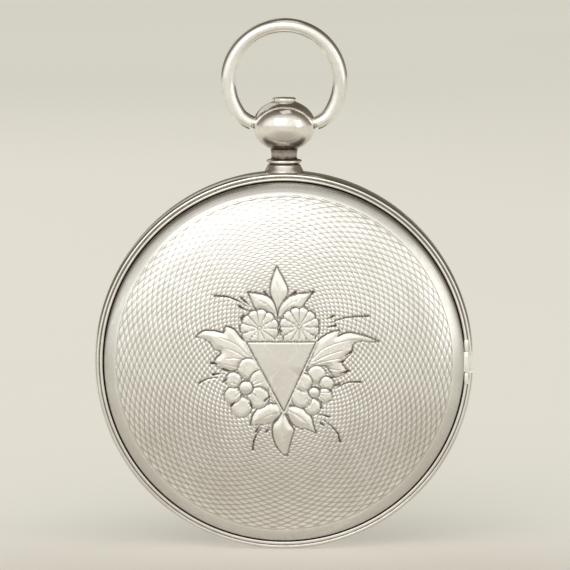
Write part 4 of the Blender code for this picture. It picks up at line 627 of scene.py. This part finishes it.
dome = [(r, cuvette_fall(r)) for r in (3.0, 6.0, 9.0, 10.5, 12.0, 13.5, 15.0, 16.2, 17.4, 18.3, 19.0)]
cuvette = turn("dust_cover", [
    (0.0, 1.70), *dome, (19.5, 3.30), (19.84, 3.44), (19.92, 3.6, 0.5), (19.92, 3.91, 0.8),
    (19.12, 3.91, 0.5), (19.0, 3.42, 0.2), *[(r - 0.15, y + 0.35) for r, y in reversed(dome[:-1])],
    (0.0, 2.05),
], silver, 192, round_by=0.05)
for (x, z), hole in KEY_HOLES:
    work(cuvette, turn("cut", [(0, 1.0), (hole, 1.0), (hole, 3.0), (0, 3.0)], silver, 48, "Y", (x, z), 0))
    for gap in (0.45, 0.62):
        work(cuvette, turn("cut", [(hole + gap, 1.5), (hole + gap + 0.05, 1.5), (hole + gap + 0.05, 1.74),
                                   (hole + gap, 1.74)], silver, 64, "Y", (x, z), 0))
work(cuvette, block("cut", (-0.95, 1.7, 18.95), (0.95, 4.25, 20.2), silver))
for at, reach, half in (
        ((CUVETTE_HINGE["x"], CUVETTE_HINGE["y"]), CUVETTE_HINGE["relief"], CUVETTE_HINGE["relief_half"]),
        (KNUCKLE_GROOVE["at"], KNUCKLE_GROOVE["radius"], KNUCKLE_GROOVE["half"])):
    work(cuvette, turn("cut", [(0, -half), (reach, -half), (reach, half), (0, half)], silver, 28, "Z", at, 0))
merged(cuvette, knuckle("tube", CUVETTE_HINGE["x"], CUVETTE_HINGE["y"], -0.8, 0.8, 0.30, silver),
       block("leaf", (19.42, 3.60, -0.77), (20.18, 3.87, 0.77), silver))
resmoothed(cuvette, 35)
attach(cuvette, "cuvette")
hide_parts("cuvette")

# ---- Bezel and crystal
# The silver ring that holds the glass, snapped on the front of the band and lifted by a thin thumb lip.
# Its hinge is opposite the lip. The domed glass is sprung into a groove.

bezel = turn("bezel_ring", [
    (20.66, 9.04), (21.6, 9.04), (21.6, 9.36), (21.50, 9.50, 0.7), (21.34, 9.58, 0.4), (21.27, 9.92),
    (20.95, 10.24), (20.5, 10.47), (20.05, 10.72), (19.65, 10.9), (19.3, 10.9), (18.98, 10.67, 0.8),
    (18.98, 10.09, 0.8), (18.2, 10.09), (18.2, 9.75), (20.66, 9.75),
], silver, 216, round_by=0.05)
work(bezel, swung(turn("cut", [(0, -2.65), (0.52, -2.65), (0.52, 2.65), (0, 2.65)], silver, 28, "Z",
                       (BEZEL_HINGE["x"], BEZEL_HINGE["y"]), 0), BEZEL_HINGE["angle"]))
merged(bezel, swung(knuckle("tube", BEZEL_HINGE["x"], BEZEL_HINGE["y"], -1.2, 1.2, BEZEL_HINGE["radius"],
                            silver), BEZEL_HINGE["angle"]),
       swung(block("leaf", (20.97, 9.22, -1.17), (21.47, 9.75, 1.17), silver), BEZEL_HINGE["angle"]))
LIP_ANGLE = math.radians(-16)
lip_rows = []
for x, half, low, high in ((21.2, 1.45, 9.09, 9.41), (21.9, 1.45, 9.09, 9.41), (22.15, 1.38, 9.10, 9.40),
                           (22.30, 1.2, 9.13, 9.37), (22.35, 1.0, 9.18, 9.32)):
    lip_rows.append([(x - 0.02 * abs(k) ** 2, y, half * k / 4) for k in range(-4, 5) for y in (low,)]
                    + [(x - 0.02 * abs(k) ** 2, high, half * k / 4) for k in range(4, -5, -1)])
lip_points = [p for row in lip_rows for p in row]
around = len(lip_rows[0])
lip_faces = [(i * around + k, i * around + (k + 1) % around, (i + 1) * around + (k + 1) % around,
              (i + 1) * around + k) for i in range(len(lip_rows) - 1) for k in range(around)]
lip_faces += [tuple(range(around - 1, -1, -1)),
              tuple((len(lip_rows) - 1) * around + k for k in range(around))]
merged(bezel, swung(piece("lip", lip_points, lip_faces, silver), LIP_ANGLE))
resmoothed(bezel, 35)
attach(bezel, "bezel")
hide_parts("bezel")

watch_glass = bpy.data.materials.new("watch_glass")
watch_glass.use_nodes = True
tree = watch_glass.node_tree
shader = tree.nodes["Principled BSDF"]
spot = in_millimetres(tree)
haze = wire(tree, "ShaderNodeTexNoise", {"Vector": spot, "Scale": 0.5, "Detail": 6.0}).outputs["Fac"]
tree.links.new(wire(tree, "ShaderNodeMapRange", {"Value": haze, "From Min": 0.45, "From Max": 0.75,
                                                 "To Min": 0.004, "To Max": 0.05}).outputs[0],
               shader.inputs["Roughness"])
tree.links.new(ramp(tree, haze, ((0.3, (0.985, 0.99, 0.985)), (0.7, (0.965, 0.975, 0.97)))),
               shader.inputs["Base Color"])
tree.links.new(wire(tree, "ShaderNodeBump", {"Strength": 0.03, "Distance": 0.01 * MM,
                                             "Height": haze}).outputs[0], shader.inputs["Normal"])
shader.inputs["Transmission Weight"].default_value = 1.0
shader.inputs["IOR"].default_value = 1.5

bow_out = [(18.95 * math.sin(math.radians(a)), 12.4 - 1.83 * (1 - math.cos(math.radians(a))) ** 1.15)
           for a in range(0, 91, 6)]
crystal = turn("watch_crystal", [(18.95, 10.12), *reversed(bow_out[1:]), (0.0, 12.4), (0.0, 11.9),
                                 *[(r * 0.965, y - 0.5) for r, y in bow_out[1:-1]], (18.45, 10.12)],
               watch_glass, 160, round_by=0)
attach(crystal, "bezel")
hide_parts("crystal")

# ---- Pendant neck and ball
# Both turned from silver rod. The neck is soldered to the band and carries a collar; the ball is
# soldered on it, hollowed from the top for the spring and drilled each side for the ends of the bow.

PENDANT = (0.0, CASE_MID_Y)
pendant_silver = metal("silver_pendant", (0.90, 0.875, 0.84), (0.80, 0.77, 0.72), (0.085, 0.052, 0.026), 0.12,
                       0.10, 0.8)
neck = turn("neck_turned", [
    (0.58, 21.33), (2.29, 21.33, 1.0), (2.29, 21.90, 0.7), (2.24, 22.06, 0.2), (2.13, 22.26), (2.02, 22.46),
    (1.93, 22.64), (1.88, 22.76, 0.5), (1.70, 22.82, 1.0), (1.70, 22.92, 1.0), (1.92, 22.97, 0.4),
    (2.05, 23.05), (2.08, 23.16), (2.05, 23.27), (1.92, 23.35, 0.4), (1.60, 23.40, 1.0), (1.48, 23.56, 1.0),
    (1.50, 23.95, 0.6), (1.58, 24.57, 1.0), (0.58, 24.57),
], pendant_silver, 96, "Z", PENDANT, 0.04)
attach(neck, "case")
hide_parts("pendant_neck")

BALL_R = 3.65
BALL_HALF_HEIGHT = 2.97
BALL_MIDDLE = 27.3
BALL_FOOT = 24.6
low = math.asin((BALL_FOOT - BALL_MIDDLE) / BALL_HALF_HEIGHT)
high = math.acos(1.65 / BALL_R)
# The third column gives the ball's side soil from 0.85 at its foot down to none just below its middle, so the
# ball is coloured darker towards the bottom.
side = [(BALL_R * math.cos(low + (high - low) * k / 36),
         BALL_MIDDLE + BALL_HALF_HEIGHT * math.sin(low + (high - low) * k / 36),
         max(0.0, 1 - k / 15.0) * 0.85) for k in range(37)]
ball = turn("ball_turned", [(0.58, BALL_FOOT, 1.0), *side, (1.62, side[-1][1] + 0.02, 0.6),
                            (1.55, 29.92, 1.0), (1.55, 26.6, 1.0),
                            (0.58, 26.6, 1.0)], pendant_silver, 128, "Z", PENDANT, 0.03)
for way in (1, -1):
    hole = turn("cut", [(0, 2.2), (0.52, 2.2), (0.52, 4.2), (0, 4.2)], pendant_silver, 36, "Z", (0, 0), 0)
    hole.data.transform(Matrix.Translation((0, CASE_MID_Y * MM, 27.4 * MM))
                        @ Matrix.Rotation(way * math.pi / 2, 4, "Y"))
    work(ball, hole)
resmoothed(ball, 40)
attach(ball, "case")
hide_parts("pendant_ball")

# ---- Push piece and its spring
# The crown-like button that opens the back: a turned silver head on a long stem to the lock spring,
# with a small flange and a slightly domed, thumb-worn top. A coil of steel wire lifts it.

push = turn("button_turned", [
    (0.0, 20.03), (0.40, 20.03), (0.46, 20.10), (0.46, 29.3), (1.475, 29.3, 0.6), (1.475, 29.88, 0.9),
    (1.475, 29.99, 0.4), (1.44, 30.05), (1.37, 30.08, 0.7), (1.36, 30.13, 0.5), (1.375, 30.22),
    (1.38, 30.40), (1.34, 30.49), (1.20, 30.55), (0.8, 30.575), (0.0, 30.58),
], pendant_silver, 72, "Z", PENDANT, 0.03)
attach(push, "push_piece")
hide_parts("push_piece")


def drawn(name, centres, radius, material, sides=16, closed=False):
    """Round wire along a line of points in millimetres; radius is one number or one for each point."""
    p = np.array(centres, float)
    radii = np.broadcast_to(np.asarray(radius, float), len(p))
    ahead = np.roll(p, -1, 0) - np.roll(p, 1, 0)
    if not closed:
        ahead[0], ahead[-1] = p[1] - p[0], p[-1] - p[-2]
    ahead /= np.linalg.norm(ahead, axis=1)[:, None]
    across = np.cross(ahead[0], (0.3, 0.9, 0.1))
    points = []
    for centre, along, size in zip(p, ahead, radii):
        across = across - along * across.dot(along)
        across /= np.linalg.norm(across)
        up = np.cross(along, across)
        points += [tuple(centre + size * (math.cos(t) * across + math.sin(t) * up))
                   for t in np.arange(sides) * math.tau / sides]
    faces = []
    for i in range(len(p) - (0 if closed else 1)):
        a, b = i * sides, (i + 1) % len(p) * sides
        faces += [(a + k, a + (k + 1) % sides, b + (k + 1) % sides, b + k) for k in range(sides)]
    if not closed:
        faces += [tuple(range(sides - 1, -1, -1)), tuple((len(p) - 1) * sides + k for k in range(sides))]
    return piece(name, points, faces, material)


spring_steel = metal("spring_steel", (0.62, 0.63, 0.65), (0.50, 0.51, 0.53), (0.12, 0.08, 0.05), 0.24, 0.10,
                     0.3)
COIL_R = 1.1
COIL_FOOT, COIL_TOP = 26.77, 29.13
COIL_TURNS = 4.5
COIL_STEPS = 108
coil_points = []
for k in range(COIL_STEPS + 1):
    t = k / COIL_STEPS
    a = t * COIL_TURNS * math.tau
    coil_points.append((COIL_R * math.cos(a), CASE_MID_Y + COIL_R * math.sin(a),
                        COIL_FOOT + (COIL_TOP - COIL_FOOT) * t))
coil = drawn("button_spring", coil_points, 0.14, spring_steel, 10)
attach(coil, "case")
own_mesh(coil)
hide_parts("push_piece_spring")

# ---- Bow
# The ring that the fob chain hooks to: drawn silver wire bent round, its two ends turned inward and
# thinned to pins that are sprung into the holes of the ball, where they turn.

BOW_R = 6.49
BOW_MIDDLE = 32.4
WIRE_R = 0.875
arc_angles = [math.radians(-38 + 256 * k / 96) for k in range(97)]
ring_line = [(BOW_R * math.cos(a), CASE_MID_Y, BOW_MIDDLE + BOW_R * math.sin(a)) for a in arc_angles]
foot = [(x, CASE_MID_Y, z) for x, z in (
    (2.3, 27.4), (3.60, 27.4), (3.665, 27.42), (3.675, 27.50), (3.74, 27.54), (4.02, 27.66), (4.36, 27.83),
    (4.76, 28.10))]
foot_width = [0.44, 0.46, 0.46, 0.80, 0.86, WIRE_R, WIRE_R, WIRE_R]
line = foot + ring_line + [(-x, y, z) for x, y, z in reversed(foot)]
wide = foot_width + [WIRE_R] * len(ring_line) + foot_width[::-1]
bow = drawn("bow_ring", line, wide, silver, 40)
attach(bow, "bow")
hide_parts("bow")

# ---- Hinge pins and the springs of the case
# Hinge pins are cut from steel wire. The lock spring and the fly spring are strips of spring steel
# bent to the band; one holds the back shut, the other throws it open.

steel = metal("polished_steel", (0.66, 0.67, 0.69), (0.55, 0.56, 0.58), (0.13, 0.09, 0.06), 0.16, 0.08, 0.6,
              (0.25, 6.0, 6.0))
PIN_R = 0.14
for name in ("back_cover_hinge_pin", "cuvette_hinge_pin", "bezel_hinge_pin"):
    low, high = (Vector(corner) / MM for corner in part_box(name))
    if name == "bezel_hinge_pin":
        pin = swung(knuckle("pin", BEZEL_HINGE["x"], BEZEL_HINGE["y"], -2.5, 2.5, PIN_R, steel, 0.0),
                    BEZEL_HINGE["angle"])
    else:
        middle = (low + high) / 2
        pin = knuckle("pin", middle.x, middle.y, low.z, high.z, PIN_R, steel, 0.0)
    pin.name = name + "_wire"
    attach(pin, "case")
    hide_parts(name)


def given(material, *names):
    """Give pieces of the movement their finish."""
    for name in names:
        nodes[name].data.materials[0] = material


given(spring_steel, "lock_spring", "fly_spring")

# ---- Plate, bridges and cocks
# Cast and filed brass, frosted and fire-gilt. The plate carries every pivot on the dial side, the
# barrel bridge and the six cocks on the back; each is drawn down by a screw.

gilt = metal("frosted_gilt", (0.86, 0.66, 0.33), (0.74, 0.54, 0.25), (0.24, 0.13, 0.05), 0.30, 0.34, 0.3)
brass = metal("turned_brass", (0.80, 0.62, 0.31), (0.68, 0.51, 0.24), (0.20, 0.12, 0.05), 0.20, 0.12, 0.5,
              (0.3, 8.0, 0.3))
given(gilt, "main_plate", "barrel_bridge", "centre_cock", "third_cock", "fourth_cock", "escape_cock",
      "pallet_cock", "balance_cock")

# ---- Screws
# Turned steel with polished heads, blued over a flame. The two case screws are left bright, and they
# clamp the plate to the band.

blued = metal("blued_steel", (0.045, 0.085, 0.30), (0.035, 0.055, 0.20), (0.10, 0.045, 0.05), 0.17, 0.06, 0.4)
for name in nodes:
    if name.endswith(("_screw", "_screw_left", "_screw_right")):
        given(steel if name.startswith("case_screw") else blued, name)

# ---- Barrel, mainspring and winding work
# A brass barrel with its lid snapped in, turning on a squared steel arbor. The ratchet wheel sits on
# the square, and the click and its spring hold it.

given(brass, "barrel", "barrel_lid")
given(steel, "barrel_arbor", "ratchet_wheel", "click", "click_spring")
given(blued, "mainspring")

# ---- Going train and escapement
# Crossed-out brass wheels riveted on cut steel pinions, which hand the turns up to the escape wheel.
# The steel pallet fork rocks between the escape wheel and the balance.

given(brass, "centre_wheel", "third_wheel", "fourth_wheel", "escape_wheel")
given(steel, "centre_pinion", "third_pinion", "fourth_pinion", "escape_pinion", "pallet_fork")

# ---- Balance, hairspring and regulator
# A plain gilt balance wheel on a steel staff, with a flat blued hairspring pinned to the cock and a
# steel regulator over it.

given(gilt, "balance_wheel")
given(steel, "balance_staff", "regulator")
given(blued, "hairspring")

# ---- Motion work
# The wheels under the dial: the steel cannon pinion turns the brass minute wheel, which turns the hour
# wheel at a twelfth of its speed.

given(steel, "cannon_pinion")
given(brass, "minute_wheel", "hour_wheel")

# ---- Dial
# White enamel fired on copper, a little crowned, with a sunk seconds dial. The numerals and the
# minute track are black enamel fired on top, so they stand just proud.

enamel = bpy.data.materials.new("white_enamel")
enamel.use_nodes = True
tree = enamel.node_tree
shader = tree.nodes["Principled BSDF"]
spot = in_millimetres(tree)
fired = wire(tree, "ShaderNodeTexNoise", {"Vector": spot, "Scale": 0.35, "Detail": 5.0}).outputs["Fac"]
orange_peel = wire(tree, "ShaderNodeTexNoise", {"Vector": spot, "Scale": 2.6, "Detail": 2.0}).outputs["Fac"]
tree.links.new(ramp(tree, fired, ((0.3, (0.80, 0.785, 0.74)), (0.7, (0.84, 0.83, 0.79)))),
               shader.inputs["Base Color"])
tree.links.new(wire(tree, "ShaderNodeMapRange", {"Value": fired, "To Min": 0.06, "To Max": 0.16}).outputs[0],
               shader.inputs["Roughness"])
tree.links.new(wire(tree, "ShaderNodeBump", {"Strength": 0.15, "Distance": 0.01 * MM,
                                             "Height": orange_peel}).outputs[0], shader.inputs["Normal"])
shader.inputs["Coat Weight"].default_value = 0.4
shader.inputs["Coat Roughness"].default_value = 0.05

SECONDS = (0.0, -8.5)
dial = turn("dial_enamel", [(1.2, 8.75), (18.2, 8.75, 0.3), (18.3, 8.85), (18.3, 9.16), (18.22, 9.22),
                            (17.0, 9.26), (12.0, 9.29), (6.0, 9.30), (1.26, 9.30), (1.2, 9.25)],
            enamel, 192, round_by=0)
work(dial, turn("cut", [(0, 8.6), (0.45, 8.6), (0.45, 9.6), (0, 9.6)], enamel, 40, "Y", SECONDS, 0))
work(dial, turn("cut", [(0, 9.20), (4.35, 9.20), (4.45, 9.4), (0, 9.4)], enamel, 96, "Y", SECONDS, 0))
resmoothed(dial, 30)
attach(dial, "case")
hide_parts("dial")


def on_dial(along, out, turned=0.0, centre=(0.0, 0.0)):
    """A place on the dial: across and outward from a centre, turned clockwise as seen from the front."""
    u = along * math.cos(turned) + out * math.sin(turned)
    v = -along * math.sin(turned) + out * math.cos(turned)
    return (centre[0] - u, centre[1] + v)


def fired_marks(name, loops, level, thick, material):
    """Flat marks of black enamel, each an outline in the plane of the dial."""
    points, faces = [], []
    for loop in loops:
        base = len(points)
        count = len(loop)
        points += [(x, level, z) for x, z in loop] + [(x, level + thick, z) for x, z in loop]
        faces += [tuple(range(base, base + count)), tuple(range(base + 2 * count - 1, base + count - 1, -1))]
        faces += [(base + k, base + count + k, base + count + (k + 1) % count, base + (k + 1) % count)
                  for k in range(count)]
    return faced_out(piece(name, points, faces, material, crease=30))


def bar(x0, y0, x1, y1, half, turned, centre=(0.0, 0.0)):
    """A straight stroke between two points of a mark."""
    length = math.hypot(x1 - x0, y1 - y0)
    nx, ny = -(y1 - y0) / length * half, (x1 - x0) / length * half
    return [on_dial(u, v, turned, centre) for u, v in ((x0 + nx, y0 + ny), (x1 + nx, y1 + ny),
                                                       (x1 - nx, y1 - ny), (x0 - nx, y0 - ny))]


def ring_marks(radius, half, centre, steps):
    """A thin printed circle, as short lengths."""
    return [[on_dial(0, radius - half, a, centre), on_dial(0, radius + half, a, centre),
             on_dial(0, radius + half, b, centre), on_dial(0, radius - half, b, centre)]
            for a, b in ((math.tau * k / steps, math.tau * (k + 1) / steps) for k in range(steps))]


black = metal("black_enamel", (0.012, 0.012, 0.014), (0.02, 0.019, 0.019), (0.03, 0.025, 0.02), 0.18, 0.05,
              0.2)
black.node_tree.nodes["Principled BSDF"].inputs["Metallic"].default_value = 0.0
NUMERALS = ("XII", "I", "II", "III", "IIII", "V", "VI", "VII", "VIII", "IX", "X", "XI")
LETTER = {"I": 0.72, "V": 1.75, "X": 1.75}
TRACK = (16.15, 17.05)
STEM_FOOT, STEM_TOP = 11.7, 15.3
marks = ring_marks(TRACK[0], 0.035, (0, 0), 120) + ring_marks(TRACK[1], 0.05, (0, 0), 120)
for minute in range(60):
    a = math.radians(6 * minute)
    marks.append(bar(0, TRACK[0], 0, TRACK[1], 0.13 if minute % 5 == 0 else 0.035, a))
for hour, word in enumerate(NUMERALS):
    a = math.radians(30 * hour)
    if hour == 6:
        continue
    at = -sum(LETTER[c] for c in word) / 2
    for c in word:
        wide = LETTER[c]
        x = at + wide / 2
        if c == "I":
            marks.append(bar(x, STEM_FOOT, x, STEM_TOP, 0.17, a))
        else:
            foot = x if c == "V" else x + 0.52
            marks.append(bar(x - 0.52, STEM_TOP, foot, STEM_FOOT, 0.19, a))
            marks.append(bar(x + 0.52, STEM_TOP, x if c == "V" else x - 0.52, STEM_FOOT, 0.06, a))
        for out in ((11.66, 15.34) if c != "V" else (15.34,)):
            marks.append(bar(x - wide / 2 + 0.04, out, x + wide / 2 - 0.04, out, 0.05, a))
        at += wide
numerals = fired_marks("dial_numerals", marks, 9.262, 0.035, black)
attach(numerals, "case")

SMALL_TRACK = (3.45, 3.95)
marks = [mark for radius in SMALL_TRACK for mark in ring_marks(radius, 0.03, SECONDS, 72)]
for second in range(60):
    marks.append(bar(0, SMALL_TRACK[0], 0, SMALL_TRACK[1], 0.08 if second % 5 == 0 else 0.025,
                     math.radians(6 * second), SECONDS))
small_track = fired_marks("seconds_track", marks, 9.19, 0.03, black)
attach(small_track, "case")

# ---- Hands
# Spade hands filed from sheet steel and blued over a flame, each pressed on its pipe. The seconds hand
# is a plain pointer.


def blued_hand(name, outline, boss, level, thick, turned, centre, bore):
    """A hand with a raised boss, its outline given tip outward."""
    made = fired_marks(name, [[on_dial(u, v, turned, centre) for u, v in outline]], level, thick, blued)
    top = level + thick + 0.02
    profile = [(bore, level), (boss, level), (boss, top), (bore, top)]
    merged(made, turn("boss", profile, blued, 48, "Y", centre, 0.03))
    return made


def both_sides(half_line):
    """A symmetrical outline from its right side, foot first."""
    return half_line + [(-w, v) for w, v in reversed(half_line) if w > 0]


hour = blued_hand("hour_hand_spade", both_sides([
    (0.42, 0.9), (0.34, 3.2), (0.36, 6.2), (0.75, 6.45), (0.34, 6.7), (0.40, 7.0), (1.05, 7.5), (1.32, 8.1),
    (1.15, 8.7), (0.62, 9.2), (0.22, 9.8), (0.12, 10.5), (0.0, 11.2)]), 1.45, 9.61, 0.13, math.radians(305),
    (0, 0), 0.78)
minute = blued_hand("minute_hand_spade", both_sides([
    (0.34, 0.6), (0.26, 5.0), (0.24, 9.6), (0.62, 9.85), (0.24, 10.1), (0.30, 10.5), (0.82, 11.0),
    (0.98, 11.5), (0.80, 12.0), (0.36, 12.5), (0.14, 13.3), (0.09, 14.4), (0.0, 15.2)]),
    1.05, 9.94, 0.13, math.radians(60),
    (0, 0), 0.30)
seconds = blued_hand("seconds_hand_pointer", both_sides([
    (0.09, -1.3), (0.11, -0.3), (0.08, 1.5), (0.05, 2.9), (0.0, 3.6)]), 0.36, 9.42, 0.09, math.radians(210),
    SECONDS, 0.1)
for hand, body, node in ((hour, "hour_wheel", "hour_hand"), (minute, "hand_setting_arbor", "minute_hand"),
                         (seconds, "fourth_arbor", "seconds_hand")):
    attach(hand, body)
    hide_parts(node)

# ---- Table, light and camera
# A plain pale sweep under soft lamps: a wide one in front and above, weaker ones overhead, to the right
# and behind. A soft dark brown patch of painted shade lies on the sweep just in front of the watch, and it
# darkens the floor that the silver mirrors. The walls are bright in front and darker overhead and behind, for
# the silver to mirror.

scene = bpy.context.scene
scene.view_settings.view_transform = "Standard"
table_top = bpy.data.materials.new("pale_table")
table_top.use_nodes = True
tree = table_top.node_tree
shader = tree.nodes["Principled BSDF"]
mottle = wire(tree, "ShaderNodeTexNoise", {"Vector": wire(tree, "ShaderNodeTexCoord").outputs["Object"],
                                           "Scale": 6.0, "Detail": 3.0}).outputs["Fac"]
spot = wire(tree, "ShaderNodeTexCoord").outputs["Object"]
# Painted shade: the table is coloured dark brown within 3 cm of a point 4.5 cm in front of the watch, fading
# to its pale tone by 8.5 cm.
painted_shade_distance = wire(tree, "ShaderNodeVectorMath", {0: spot, 1: (0.0, -0.045, cad_low[2])},
              operation="DISTANCE").outputs["Value"]
painted_shade_fade = wire(tree, "ShaderNodeMapRange", {"Value": painted_shade_distance, "From Min": 0.030, "From Max": 0.085}).outputs[0]
pale = ramp(tree, mottle, ((0.3, (0.79, 0.78, 0.715)), (0.7, (0.82, 0.81, 0.745))))
tree.links.new(tinted(tree, painted_shade_fade, (0.44, 0.38, 0.31, 1.0), pale), shader.inputs["Base Color"])
shader.inputs["Roughness"].default_value = 0.75
shader.inputs["Specular IOR Level"].default_value = 0.2
shader.inputs["Emission Color"].default_value = (0.985, 0.98, 0.90, 1.0)
shader.inputs["Emission Strength"].default_value = 0.345
table_mesh = bpy.data.meshes.new("table")
TABLE_HALF = 9
table_mesh.from_pydata([(x * TABLE_HALF, y * TABLE_HALF, cad_low[2])
                        for x, y in ((-1, -1), (1, -1), (1, 1), (-1, 1))], [], [(0, 1, 2, 3)])
table_mesh.materials.append(table_top)
table = bpy.data.objects.new("table", table_mesh)
scene.collection.objects.link(table)
table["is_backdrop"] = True

world = bpy.data.worlds.new("studio_walls")
scene.world = world
world.use_nodes = True
tree = world.node_tree
way = wire(tree, "ShaderNodeTexCoord").outputs["Generated"]
apart = wire(tree, "ShaderNodeSeparateXYZ", {"Vector": way})
front = reckon(tree, "MULTIPLY", apart.outputs["Y"], -1.0)
behind = reckon(tree, "MULTIPLY", apart.outputs["Y"], -0.4)
facing = reckon(tree, "MAXIMUM", front, behind)
height = reckon(tree, "ABSOLUTE", apart.outputs["Z"])
level = reckon(tree, "MULTIPLY_ADD", height, -0.30, 0.45)
glow = reckon(tree, "MULTIPLY_ADD", facing, 0.55, level)
tree.links.new(ramp(tree, glow, ((0.12, (0.12, 0.10, 0.07)), (0.34, (0.27, 0.24, 0.20)),
                                 (0.46, (0.72, 0.70, 0.65)), (0.62, (1.10, 1.09, 1.03)))),
                                 tree.nodes["Background"].inputs["Color"])
tree.nodes["Background"].inputs["Strength"].default_value = 1.0


def lamp(name, place, size, power, tint, target=(0.0, 0.0, 0.005)):
    """A soft box that points at the watch."""
    light = bpy.data.lights.new(name, "AREA")
    light.shape = "RECTANGLE"
    light.size, light.size_y = size
    light.energy = power
    light.color = tint
    made = bpy.data.objects.new(name, light)
    made.location = place
    made.rotation_euler = (Vector(target) - Vector(place)).to_track_quat("-Z", "Y").to_euler()
    scene.collection.objects.link(made)


lamp("lamp_left", (-0.16, -0.60, 0.36), (0.55, 0.36), 0.75, (1.0, 0.985, 0.955))
lamp("lamp_top", (0.05, -0.10, 0.65), (0.30, 0.20), 0.12, (1.0, 0.99, 0.97))
lamp("lamp_right", (0.55, -0.35, 0.18), (0.25, 0.40), 0.16, (1.0, 0.965, 0.92))
lamp("lamp_behind", (-0.25, 0.55, 0.40), (0.45, 0.45), 0.35, (1.0, 0.985, 0.96))

ELEVATION = math.radians(5.5)
DISTANCE = 0.62
FRAME_WIDTH = 0.06635
aim = Vector((0.0001, 0.0060, 0.0087))
camera_data = bpy.data.cameras.new("camera")
camera_data.sensor_width = 36.0
camera_data.lens = 36.0 * DISTANCE / FRAME_WIDTH
camera_data.clip_start = 0.01
camera_data.clip_end = 60.0
camera = bpy.data.objects.new("camera", camera_data)
camera.location = aim + DISTANCE * Vector((0.0, -math.cos(ELEVATION), math.sin(ELEVATION)))
camera.rotation_euler = (aim - camera.location).to_track_quat("-Z", "Y").to_euler()
scene.collection.objects.link(camera)
scene.camera = camera

low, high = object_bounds()
